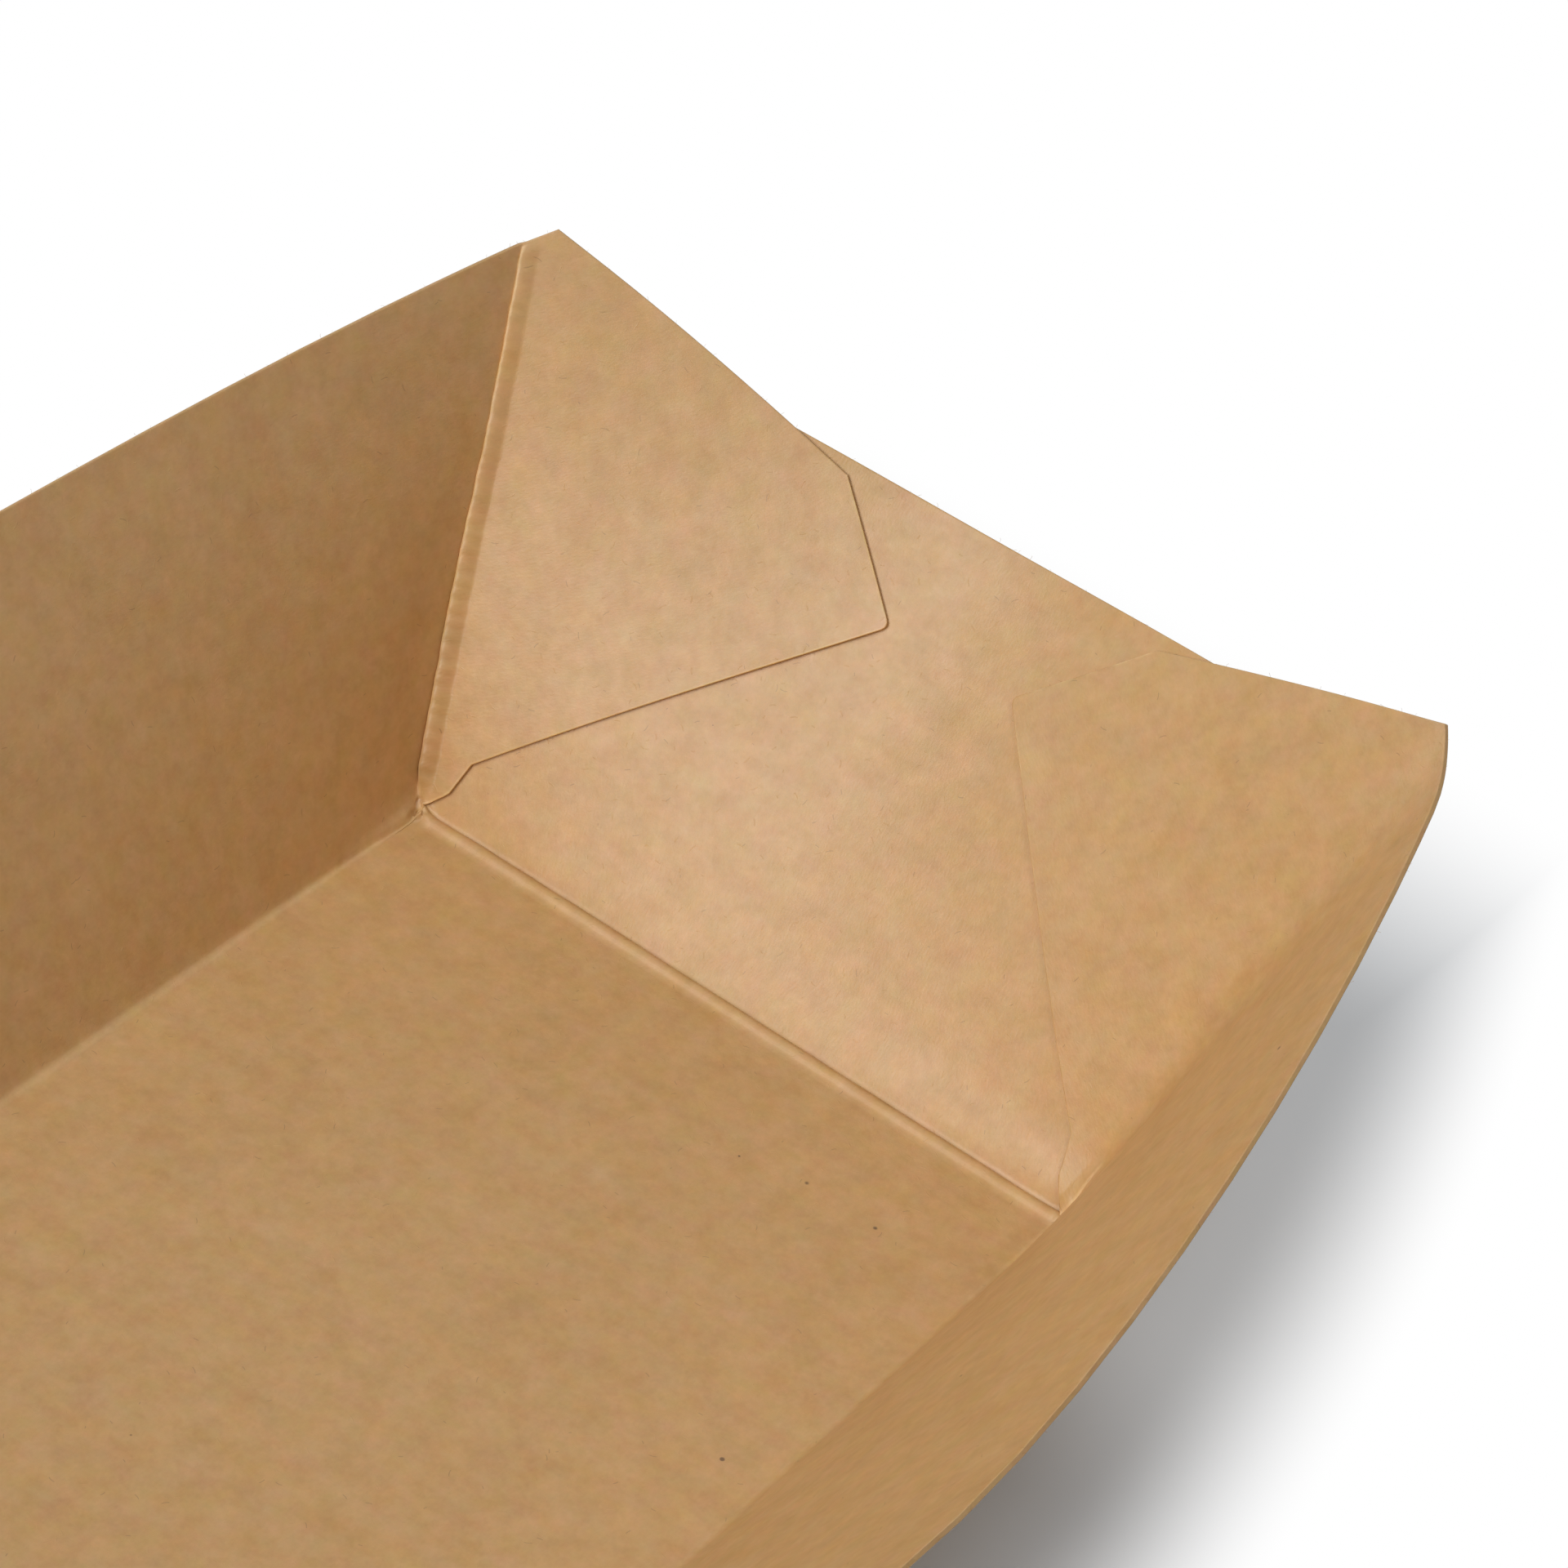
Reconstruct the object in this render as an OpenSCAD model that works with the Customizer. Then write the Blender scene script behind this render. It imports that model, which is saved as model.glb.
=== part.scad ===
// Snack tray folded from one die-cut blank of kraft board.
// The floor is a flat rectangle. Two side walls carry a glue tab at each end, and the tabs are
// folded round the corners and glued to the inside of the two end walls, which holds the tray open.
// The corners keep the walls steep there, so each wall bows outward towards its middle.
// The floor's underside lies on z = 0, the tray's length runs along Y and its width along X.

/* [Base] */
// Length of the floor, from one end crease to the other
base_length = 128; // [100:1:180]
// Width of the floor, from one side crease to the other
base_width = 70; // [62:1:110]

/* [Board] */
// Thickness of the board
board = 0.45; // [0.3:0.05:0.7]
// How deep a glued tab is pressed into the end wall
glue_sink = 0.08; // [0.06:0.01:0.12]

/* [Side walls] */
// Height of a side wall up its slope, at the corner creases
side_slope_corner = 46.4; // [40:0.2:58]
// Height of a side wall up its slope, at mid length
side_slope_middle = 42.4; // [36:0.2:58]
// Lean of a side wall from upright at the corners, in degrees
side_lean_corner = 15.5; // [8:0.5:25]
// Lean of a side wall from upright at mid length, in degrees
side_lean_middle = 36.5; // [20:0.5:45]

/* [End walls] */
// Height of an end wall up its slope
end_slope = 45.6; // [40:0.2:58]
// Lean of an end wall from upright at the corners, in degrees
end_lean_corner = 25.5; // [15:0.5:35]
// Lean of an end wall from upright at its middle, in degrees
end_lean_middle = 40.5; // [25:0.5:50]
// Gap between an end wall's slanted edge and the corner crease
end_edge_gap = 0.6; // [0.3:0.1:1.5]

/* [Glue tabs] */
// Reach of the left side wall's tabs over the end walls, from the floor's corner
left_tab_reach = 30; // [24:0.5:31]
// Reach of the right side wall's tabs over the end walls, from the floor's corner
right_tab_reach = 27; // [24:0.5:31]
// Height of a tab's outer corner up the end wall's slope
tab_corner_height = 35; // [28:0.5:38]
// How far a tab's end edge slants back from its outer corner
tab_end_run = 9.8; // [4:0.2:14]
// Rise of a tab's end edge above its outer corner
tab_end_rise = 9.6; // [5:0.2:12]
// Radius of a tab's outer corner
tab_corner_radius = 1.4; // [0.5:0.1:3]
// How far the side wall's rim runs on past the corner crease, up to the tab's tip
tab_tip_run = 3.1; // [1:0.1:6]
// Turn of that run up from the line of the rim, in degrees
tab_tip_turn = 10; // [0:1:20]
// Width of a tab's foot where it steps clear of the floor crease
tab_foot_width = 2; // [1:0.1:4]
// Height of a tab's foot
tab_foot_height = 3; // [2:0.1:5]
// Height of the step above a tab's foot
tab_step_height = 3.3; // [2:0.1:5]
// Width of the step above a tab's foot
tab_step_width = 0.8; // [0.4:0.1:1.5]

/* [Creases] */
// Width of the bead that a crease raises inside the tray
bead_width = 1.4; // [0.8:0.1:2]
// Rise of that bead at the corner creases and the end creases
bead_rise = 0.25; // [0.1:0.05:0.4]
// Width of the fainter bead along the side creases
side_bead_width = 0.8; // [0.4:0.1:1.2]
// Rise of the bead along the side creases
side_bead_rise = 0.1; // [0.05:0.05:0.2]
// Share of a corner crease's bead that is left at the rim
bead_top_share = 0.4; // [0.2:0.1:1]

/* [Hidden] */

kraft = [0.74, 0.58, 0.40];

half_length = base_length / 2;
half_width = base_width / 2;

// The bow's curve: 1 at a wall's middle, 0 at its corners, with a soft crown
bow_power = 1.6;
bow_crown = 0.15;

// Cells of each curved sheet, along it and up it
side_cells = [40, 5];
end_cells = [24, 8];
tab_columns = 8;
tab_long_steps = 6;
tab_short_steps = 2;
corner_steps = 3;
bead_sides = 10;

// Step of the slopes that a face's outward direction is worked out from
probe = 0.01;

// Directions into the tray from a side crease, an end crease and a corner crease
off_side = [-1, 0, 1];
off_end = [0, -1, 1];
off_corner = [-1, -1, 0.5];

// Width left at the pointed ends of a tab
tip_blunt = 0.03;
foot_blunt = 0.4;

// A tab lies one board in front of its end wall, so the side walls end that much sooner
tab_setback = board / cos(end_lean_corner);
side_half_length = half_length - tab_setback;

// Each wall is rooted a little way down in its fold, which is rounded within the board's thickness
root = board / 4;
fold_width = board * 1.2;
fold_depth = board * 0.7;

// Flare of each wall on the flat blank: the angle of its corner crease from square
side_flare = atan(tan(end_lean_corner) * cos(side_lean_corner));
end_flare = atan(tan(side_lean_corner) * cos(end_lean_corner));
crease_slope = side_slope_corner * cos(side_lean_corner) / cos(end_lean_corner);

function bow_rise(u) = pow(u * u + bow_crown * bow_crown, bow_power / 2);
function bow(u) = (bow_rise(1) - bow_rise(u)) / (bow_rise(1) - bow_rise(0));
function mix(a, b, k) = a + (b - a) * k;
function side_lean(u) = mix(side_lean_corner, side_lean_middle, bow(u));
function end_lean(u) = mix(end_lean_corner, end_lean_middle, bow(u));
function side_slope(u) = mix(side_slope_middle, side_slope_corner, u * u);
function end_half(s) = half_width + s * tan(end_flare);

// Inner face of the right side wall, u along it from -1 to 1 and s up its slope
side_face = function (u, s)
    let (lean = side_lean(u))
    [half_width + s * sin(lean), u * (side_half_length + s * tan(side_flare)), board + s * cos(lean)];

// Inner face of the far end wall, x across it and s up its slope
end_face = function (x, s)
    let (lean = end_lean(x / end_half(s)))
    [x, half_length + s * sin(lean), board + s * cos(lean)];

// Inner face of a glue tab on that wall
tab_face = function (x, s) end_face(x, s) - [0, tab_setback, 0];

function unit(v) = v / norm(v);
function outward(face, a, b) =
    unit(cross(face(a, b + probe) - face(a, b - probe), face(a + probe, b) - face(a - probe, b)));

// A closed sheet of board. Its rows of places lie on the inner face, from the foot up, and its
// thickness is laid outside. Turned sheets run the other way round. The cells' diagonals mirror
// about the middle column, so that both halves of a wall are alike.
module sheet(face, rows, thickness, turned, middle) {
    across = len(rows[0]);
    up = len(rows);
    count = across * up;
    inner = [for (row = rows) for (at = row) face(at[0], at[1])];
    outer = [for (row = rows) for (at = row)
        face(at[0], at[1]) + outward(face, at[0], at[1]) * thickness * (turned ? -1 : 1)];
    inner_faces = [for (r = [0 : up - 2]) for (c = [0 : across - 2]) let (
            i = r * across + c,
            j = i + across,
            halves = c < middle
                ? [[i, i + 1, j], [i + 1, j + 1, j]]
                : [[i, i + 1, j + 1], [i, j + 1, j]]
        ) for (half = halves) half];
    outer_faces = [for (f = inner_faces) [f[2] + count, f[1] + count, f[0] + count]];
    rim = concat(
        [for (c = [0 : across - 2]) c],
        [for (r = [0 : up - 2]) r * across + across - 1],
        [for (c = [across - 1 : -1 : 1]) (up - 1) * across + c],
        [for (r = [up - 1 : -1 : 1]) r * across]
    );
    edge_faces = [for (k = [0 : len(rim) - 1]) let (i = rim[k], j = rim[(k + 1) % len(rim)])
        for (f = [[j, i, i + count], [j, i + count, j + count]]) f];
    faces = concat(inner_faces, outer_faces, edge_faces);
    polyhedron(concat(inner, outer), turned ? faces : [for (f = faces) [f[2], f[1], f[0]]]);
}

// A flat floor of board
module floor_panel() {
    translate([-half_width, -half_length, 0]) cube([base_width, base_length, board]);
}

// The right side wall
module side_wall() {
    rows = [for (k = [0 : side_cells[1]]) [for (i = [0 : side_cells[0]])
        let (u = 2 * i / side_cells[0] - 1) [u, mix(-root, side_slope(u), k / side_cells[1])]]];
    sheet(side_face, rows, board, true, side_cells[0] / 2);
}

// The far end wall, cut just short of the corner creases
module end_wall() {
    rows = [for (k = [0 : end_cells[1]]) let (s = mix(-root, end_slope, k / end_cells[1]))
        [for (i = [0 : end_cells[0]]) [(end_half(s) - end_edge_gap) * (2 * i / end_cells[0] - 1), s]]];
    sheet(end_face, rows, board, false, end_cells[0] / 2);
}

// Points of a rounded corner between two straight edges
function corner_arc(start, corner, stop, radius) =
    let (
        coming = unit(corner - start),
        going = unit(stop - corner),
        cut = radius * tan(acos(coming * going) / 2),
        first = corner - coming * cut,
        last = corner + going * cut
    )
    [for (i = [0 : corner_steps]) let (k = i / corner_steps)
        mix(mix(first, corner, k), mix(corner, last, k), k)];

// Points that divide an edge, without its ends
function along_edge(start, stop, steps) = [for (i = [1 : steps - 1]) mix(start, stop, i / steps)];

// The tip stands at the end of the rim's run round the crease, where the tab's top edge starts
crease_top = [end_half(crease_slope), crease_slope];
tip_rise = side_flare + end_flare + tab_tip_turn;
tab_tip = crease_top + tab_tip_run * [-cos(tip_rise), sin(tip_rise)];

// A tab's free edge as [x, height up the slope], from its foot at the floor's corner to its tip
function tab_edge(reach) =
    let (
        foot = [half_width - tab_foot_width, tab_foot_height],
        step = foot + [-tab_step_width, tab_step_height],
        corner = [half_width - reach, tab_corner_height],
        shoulder = corner + [tab_end_run, tab_end_rise],
        rounded = corner_arc(step, corner, shoulder, tab_corner_radius)
    )
    concat(
        [mix([half_width, 0], foot, foot_blunt / tab_foot_height), foot, step],
        along_edge(step, rounded[0], tab_long_steps),
        rounded,
        along_edge(rounded[corner_steps], shoulder, tab_short_steps),
        [shoulder],
        along_edge(shoulder, tab_tip, tab_long_steps),
        [mix(tab_tip, shoulder, tip_blunt)]
    );

// The edge that a tab shares with its side wall, and the short run of rim above it
function tab_root(s) = s < crease_slope
    ? end_half(s)
    : mix(crease_top[0], tab_tip[0], (s - crease_slope) / (tab_tip[1] - crease_slope));

// The right side wall's glue tab at the far end
module glue_tab(reach) {
    rows = [for (at = tab_edge(reach)) [for (i = [0 : tab_columns])
        [mix(at[0], tab_root(at[1]), i / tab_columns), at[1]]]];
    sheet(tab_face, rows, board + glue_sink, false, 0);
}

// A bead of pressed-up board along a crease, thinner towards its far end. It rises to the inside
// and fills the board's thickness below.
module bead(start, stop, inward, width, rise, thin_end) {
    along = unit(stop - start);
    across = unit(cross(inward, along));
    up = cross(along, across);
    hull() for (end = [[start, 1], [stop, thin_end]]) {
        top = rise * end[1];
        half_height = (top + fold_depth) / 2;
        at = end[0] + up * (top - half_height);
        multmatrix([
            [across[0], up[0], along[0], at[0]],
            [across[1], up[1], along[1], at[1]],
            [across[2], up[2], along[2], at[2]]
        ])
        scale([width * end[1] / 2, half_height, fold_width / 2]) sphere(1, $fn = bead_sides);
    }
}

module tray() {
    corner = [half_width, side_half_length, board];
    corner_top = side_face(1, side_slope_corner);
    end_middle = half_length - bead_width / 2;
    end_reach = half_width - fold_width;
    side_reach = side_half_length - fold_width;
    color(kraft) {
        floor_panel();
        for (side = [0, 1]) mirror([side, 0, 0]) {
            side_wall();
            bead([half_width, -side_reach, board], [half_width, side_reach, board], off_side,
                side_bead_width, side_bead_rise, 1);
        }
        for (end = [0, 1]) mirror([0, end, 0]) {
            end_wall();
            bead([-end_reach, half_length, board], [end_reach, half_length, board], off_end,
                fold_width, side_bead_rise, 1);
            bead([-end_reach, end_middle, board], [end_reach, end_middle, board], [0, 0, 1],
                bead_width, bead_rise, 1);
            for (side = [0, 1]) mirror([side, 0, 0]) {
                glue_tab(side == 0 ? right_tab_reach : left_tab_reach);
                bead(corner, corner_top, off_corner, bead_width, bead_rise, bead_top_share);
            }
        }
    }
}

tray();
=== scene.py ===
"""Snack tray folded from one die-cut blank of kraft board, dressed and lit.

Each panel of the blank is a curved sheet that follows the same rule as the tray's solid. The panels
are welded along their creases, given the board's thickness with rounded cut edges, and a node tree
then presses up the creases' beads and crumples the floor's corners. Stray fibres stand out of the
cut edges. Lengths are in metres, the tray's length runs along Y and its underside lies on z = 0.
"""

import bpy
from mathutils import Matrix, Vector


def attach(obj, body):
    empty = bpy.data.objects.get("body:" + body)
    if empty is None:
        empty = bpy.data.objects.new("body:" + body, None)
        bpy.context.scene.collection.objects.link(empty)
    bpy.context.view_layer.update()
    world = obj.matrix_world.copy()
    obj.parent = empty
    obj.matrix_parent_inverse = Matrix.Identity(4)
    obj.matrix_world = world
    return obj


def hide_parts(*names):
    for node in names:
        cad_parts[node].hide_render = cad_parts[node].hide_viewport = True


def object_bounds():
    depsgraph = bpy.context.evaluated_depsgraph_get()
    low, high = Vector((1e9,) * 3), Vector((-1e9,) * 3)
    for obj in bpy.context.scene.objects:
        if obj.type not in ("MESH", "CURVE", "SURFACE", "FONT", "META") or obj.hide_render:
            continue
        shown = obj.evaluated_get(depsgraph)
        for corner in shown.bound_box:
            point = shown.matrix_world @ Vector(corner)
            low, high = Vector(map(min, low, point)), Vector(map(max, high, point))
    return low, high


bl_info = {
    "name": "Kraft Snack Tray",
    "version": (1, 0, 0),
    "blender": (4, 5, 0),
    "location": "3D Viewport > Sidebar > Snack Tray",
    "description": "Folds a kraft board snack tray and sets it on a plain stage",
    "category": "Add Mesh",
}

import math

import bpy
import numpy as np
from bpy.props import (
    FloatProperty,
    FloatVectorProperty,
    IntProperty,
    PointerProperty,
)
from bpy.types import Operator, Panel, PropertyGroup
from mathutils import Matrix, Vector

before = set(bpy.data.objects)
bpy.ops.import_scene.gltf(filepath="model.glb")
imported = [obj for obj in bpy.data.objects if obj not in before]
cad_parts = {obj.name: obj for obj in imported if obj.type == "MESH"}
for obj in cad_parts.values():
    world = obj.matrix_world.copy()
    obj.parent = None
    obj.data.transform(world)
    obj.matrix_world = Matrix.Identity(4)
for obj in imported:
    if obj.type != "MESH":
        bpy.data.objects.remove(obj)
CAD_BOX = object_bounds()

MM = 0.001
NODE = "tray"
BODY = "root"

BOARD_NAME = "tray_board"
FIBRES_NAME = "edge_fibres"
BLANK_UV = "blank_layout"
SURFACE = "surface"
FACE, REVERSE, CUT = 0, 1, 2

# One unit of the blank's layout map is half a metre, so that the face and the reverse fit side by
# side, each about its own middle
BLANK_UNIT = 0.5
MM_PER_BLANK_UNIT = BLANK_UNIT / MM
FACE_MIDDLE = (0.25, 0.5)
REVERSE_MIDDLE = (0.75, 0.5)

# The bow's curve: 1 at a wall's middle, 0 at its corners, with a soft crown
BOW_POWER = 1.6
BOW_CROWN = 0.15

# Distance that stands for no crease or no cut edge nearby
NOWHERE = 1.0

# Keeps the direction of a face without area from being a division by nothing
TINY = 1e-30

# Places that agree to this many decimals of a metre are one place
WELD_DECIMALS = 9

# How far the reverse follows a bead: it is pressed in a little under it
REVERSE_GROOVE = 0.35

# The paler line of each crease, partly wear and partly a painted highlight: where its middle lies
# across the crease, half its width and its strength
WEAR_AND_PAINTED_LIGHT = "worn"
WEAR_AND_HIGHLIGHT_LINES = {
    "corner": (0.2 * MM, 0.26 * MM, 1.4),
    "end": (-0.95 * MM, 0.5 * MM, 0.15),
    "side": (0.0, 0.5 * MM, 0.7),
}
# Painted shade in the groove at the foot of a corner bead, where its flank is darker, given in the
# same way
GROOVE_PAINTED_SHADE = (1.05 * MM, 0.5 * MM, 0.7)
# How much faster a paler place gains green and blue than red, and a place with painted shade loses
# them
WEAR_AND_PAINTED_LIGHT_GAINS = (0.8, 1.25, 1.8)

# A crease's pale line, of wear and painted highlight, is full where its bead has this share of its
# rise.
# A tab's cut edge, pale with wear and a painted highlight, and a floor corner are this many times as
# pale.
PALE_LINE_SHARE = 0.08
EDGE_WEAR_AND_HIGHLIGHT = 3.0
CORNER_WEAR = 2.5

# Where folds stray from their creases: how far off an end fold this fades out, how far off a corner
# fold, how many times as far along the wall, up which share of the corner fold, and how it starts
# above the floor
STRAY_END = (1.5 * MM, 6 * MM)
STRAY_CORNER = (0.4 * MM, 2.6 * MM)
STRAY_WALL = 4.0
STRAY_CLIMB = (0.3, 0.75)
STRAY_FOOT = (0.0, 2.5 * MM)

# Softboxes: azimuth and elevation in degrees, distance and size. Azimuth 0 is in front of the near
# end and 90 on the right.
SOFTBOXES = {
    "key": (-20, 40, 1.0, 0.35),
    "sheen": (-5, 25, 1.0, 0.35),
    "high_left": (-40, 60, 1.0, 0.35),
    "high_right": (90, 70, 1.0, 0.35),
    "low_left": (-90, 15, 1.0, 0.35),
    "back": (180, 20, 1.0, 0.60),
}

# Where the floor's shadow fades to plain white: off the side rims, and behind and in front
SIDE_FADE = (-6 * MM, 11 * MM)
END_FADE = (6 * MM, 48 * MM)
# Towards the tray's ends, light is painted into the floor's shadow, which is this share paler
PAINTED_LIGHT_FROM = (35 * MM, 60 * MM)
PAINTED_LIGHT_SHARE = 0.18


def length_setting(name, mm, description):
    """A length that the user can change, given in millimetres."""
    return FloatProperty(
        name=name, description=description, default=mm * MM, unit="LENGTH", precision=5
    )


def angle_setting(name, degrees, description):
    """An angle that the user can change, given in degrees."""
    return FloatProperty(
        name=name,
        description=description,
        default=math.radians(degrees),
        subtype="ANGLE",
        unit="ROTATION",
    )


def share_setting(name, value, description):
    """A share or a plain number that the user can change."""
    return FloatProperty(name=name, description=description, default=value, min=0.0)


def colour_setting(name, colour, description):
    """A colour that the user can change, in linear values."""
    return FloatVectorProperty(
        name=name, description=description, default=colour, subtype="COLOR", min=0.0, max=1.0
    )


class TrayShape(PropertyGroup):
    """Sizes of the folded tray"""

    base_length: length_setting("Base length", 128, "Floor from one end crease to the other")
    base_width: length_setting("Base width", 70, "Floor from one side crease to the other")
    board: length_setting("Board", 0.45, "Thickness of the board")
    glue_gap: length_setting("Glue gap", 0.03, "Gap between a glued tab and the end wall")
    side_slope_corner: length_setting(
        "Side slope at corners", 46.4, "Height of a side wall up its slope, at the corner creases"
    )
    side_slope_middle: length_setting(
        "Side slope at middle", 42.4, "Height of a side wall up its slope, at mid length"
    )
    side_lean_corner: angle_setting(
        "Side lean at corners", 15.5, "Lean of a side wall from upright at the corners"
    )
    side_lean_middle: angle_setting(
        "Side lean at middle", 36.5, "Lean of a side wall from upright at mid length"
    )
    end_slope: length_setting("End slope", 45.6, "Height of an end wall up its slope")
    end_lean_corner: angle_setting(
        "End lean at corners", 25.5, "Lean of an end wall from upright at the corners"
    )
    end_lean_middle: angle_setting(
        "End lean at middle", 40.5, "Lean of an end wall from upright at its middle"
    )
    end_edge_gap: length_setting(
        "End edge gap", 0.6, "Gap between an end wall's slanted edge and the corner crease"
    )
    left_tab_reach: length_setting("Left tab reach", 30, "Reach of the left wall's glue tabs")
    right_tab_reach: length_setting("Right tab reach", 27, "Reach of the right wall's glue tabs")
    tab_corner_height: length_setting(
        "Tab corner height", 35, "Height of a tab's outer corner up the end wall"
    )
    tab_end_run: length_setting("Tab end run", 9.8, "How far a tab's end edge slants back")
    tab_end_rise: length_setting("Tab end rise", 9.6, "Rise of a tab's end edge")
    tab_corner_radius: length_setting("Tab corner radius", 0.8, "Radius of a tab's outer corner")
    tab_tip_run: length_setting(
        "Tab tip run", 3.1, "How far the side wall's rim runs on past the corner crease"
    )
    tab_tip_turn: angle_setting("Tab tip turn", 10, "Turn of that run up from the line of the rim")
    tab_foot_width: length_setting("Tab foot width", 2, "Width of a tab's foot")
    tab_foot_height: length_setting("Tab foot height", 3, "Height of a tab's foot")
    tab_step_height: length_setting("Tab step height", 3.3, "Height of the step above the foot")
    tab_step_width: length_setting("Tab step width", 0.8, "Width of the step above the foot")
    edge_round: length_setting("Edge round", 0.08, "Rounding of the cut edges")


class TrayCreases(PropertyGroup):
    """Folds and the beads that scoring presses up along them"""

    fold_radius: length_setting("Fold radius", 0.2, "Inner radius of a sharp fold")
    soft_radius: length_setting(
        "Soft fold radius", 4.6, "Inner radius of the right corners' folds, at the rim"
    )
    end_radius: length_setting("End fold radius", 0.6, "Inner radius of the end folds")
    side_radius: length_setting(
        "Side fold radius", 0.8, "Inner radius of the side folds, away from the corners"
    )
    end_stray: length_setting(
        "End stray", 0.7, "How far the right ends of the end folds stray inwards"
    )
    corner_stray: length_setting(
        "Corner stray", 0.55, "How far the feet of the left corners' folds stray outwards"
    )
    corner_near: length_setting("Corner bead near", 0.0, "Where a corner bead starts on its tab")
    corner_far: length_setting("Corner bead far", 1.35, "Where a corner bead ends on its tab")
    corner_rise: length_setting("Corner bead rise", 0.78, "Rise of a corner crease's bead")
    corner_skew: share_setting("Corner bead skew", 0.6, "Below 1, a bead's top is near the fold")
    end_near: length_setting("End bead near", 0.0, "Where an end bead starts on the floor")
    end_far: length_setting("End bead far", -1.5, "Where an end bead ends on the floor")
    end_rise: length_setting("End bead rise", 0.5, "Rise of an end crease's bead")
    end_skew: share_setting("End bead skew", 0.8, "Below 1, a bead's top is near the fold")
    side_near: length_setting("Side bead near", -0.5, "Where a side bead starts on the floor")
    side_far: length_setting("Side bead far", 1.2, "Where a side bead ends on its wall")
    side_rise: length_setting("Side bead rise", 0.5, "Rise of a side crease's bead")
    side_skew: share_setting("Side bead skew", 0.8, "Below 1, a bead's top is near the fold")
    wave_depth: share_setting("Wave depth", 0.38, "Unevenness of a bead, as a share of its rise")
    wave_length: length_setting("Wave length", 1.3, "Length of a bead's ripples")
    # The pale line along a tab's cut edge is partly wear and partly a painted highlight
    edge_wear: length_setting("Edge wear", 0.17, "Width of the pale line along a tab's cut edge")
    crush_reach: length_setting("Crush reach", 1.9, "How far a floor corner's crumples reach")
    crush_depth: length_setting("Crush depth", 1.1, "Depth of a floor corner's crumples")
    crush_right: share_setting("Crush right", 0.25, "Share of the crumples at the right corners")
    crush_grain: length_setting("Crush grain", 0.9, "Size of a floor corner's crumples")
    seed: IntProperty(name="Seed", description="Pattern of the ripples and crumples", default=3)


class KraftFinish(PropertyGroup):
    """Colours and texture of the kraft board"""

    pale: colour_setting("Pale", (0.672, 0.415, 0.183), "Palest pulp")
    deep: colour_setting("Deep", (0.528, 0.304, 0.117), "Deepest pulp")
    fleck: colour_setting("Fleck", (0.12, 0.065, 0.03), "Bark specks and dark fibres")
    cloud_depth: share_setting("Cloud depth", 1.0, "Strength of the cloudy mottling")
    tint_depth: share_setting("Tint depth", 1.0, "Strength of the pink, green and yellow tints")
    grain_depth: share_setting("Grain depth", 0.8, "Strength of the fine fibre grain")
    fleck_depth: share_setting("Fleck depth", 0.85, "Strength of the specks and dark fibres")
    # This depth also sets the painted highlight along the creases and cut edges, and the painted shade
    # in the corner beads' grooves
    wear_and_painted_light_depth: share_setting("Worn depth", 0.2, "How much paler the folded creases are")
    roughness: share_setting("Roughness", 0.4, "Mean roughness of the calendered face")
    fibre_density: share_setting(
        "Fibre density", 1.4e6, "Stray fibres on each square metre of cut edge"
    )
    fibre_length: length_setting("Fibre length", 0.45, "Longest stray fibre")
    fibre_radius: length_setting("Fibre radius", 0.012, "Radius of a stray fibre")
    fibre_seed: IntProperty(name="Fibre seed", description="Places of the fibres", default=5)


class TrayStudio(PropertyGroup):
    """Lamps, floor and camera"""

    key: share_setting("Key", 3.2, "Watts of the main softbox in front, above and to the left")
    sheen: share_setting("Sheen", 2.0, "Watts of the lower softbox in front")
    high_left: share_setting("High left", 1.4, "Watts of the high softbox on the left")
    high_right: share_setting("High right", 1.6, "Watts of the high softbox on the right")
    low_left: share_setting("Low left", 0.95, "Watts of the low softbox on the left")
    back: share_setting("Back", 0.5, "Watts of the low softbox behind")
    fill: share_setting("Fill", 0.1, "Strength of the even white surroundings")
    floor_white: share_setting("Floor white", 0.9, "Whiteness of the floor beside the tray")


# The folded blank


def mix(a, b, share):
    return a + (b - a) * share


def smooth(value, low, high):
    """0 below low, 1 above high, with soft ends."""
    t = np.clip((value - low) / (high - low), 0.0, 1.0)
    return t * t * (3 - 2 * t)


def bow(u):
    def rise(v):
        return (v * v + BOW_CROWN * BOW_CROWN) ** (BOW_POWER / 2)

    return (rise(1.0) - rise(u)) / (rise(1.0) - rise(0.0))


def points(x, y, z):
    return np.stack(np.broadcast_arrays(x, y, z), axis=-1).astype(float)


def unit(v):
    return v / np.linalg.norm(v, axis=-1, keepdims=True)


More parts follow.
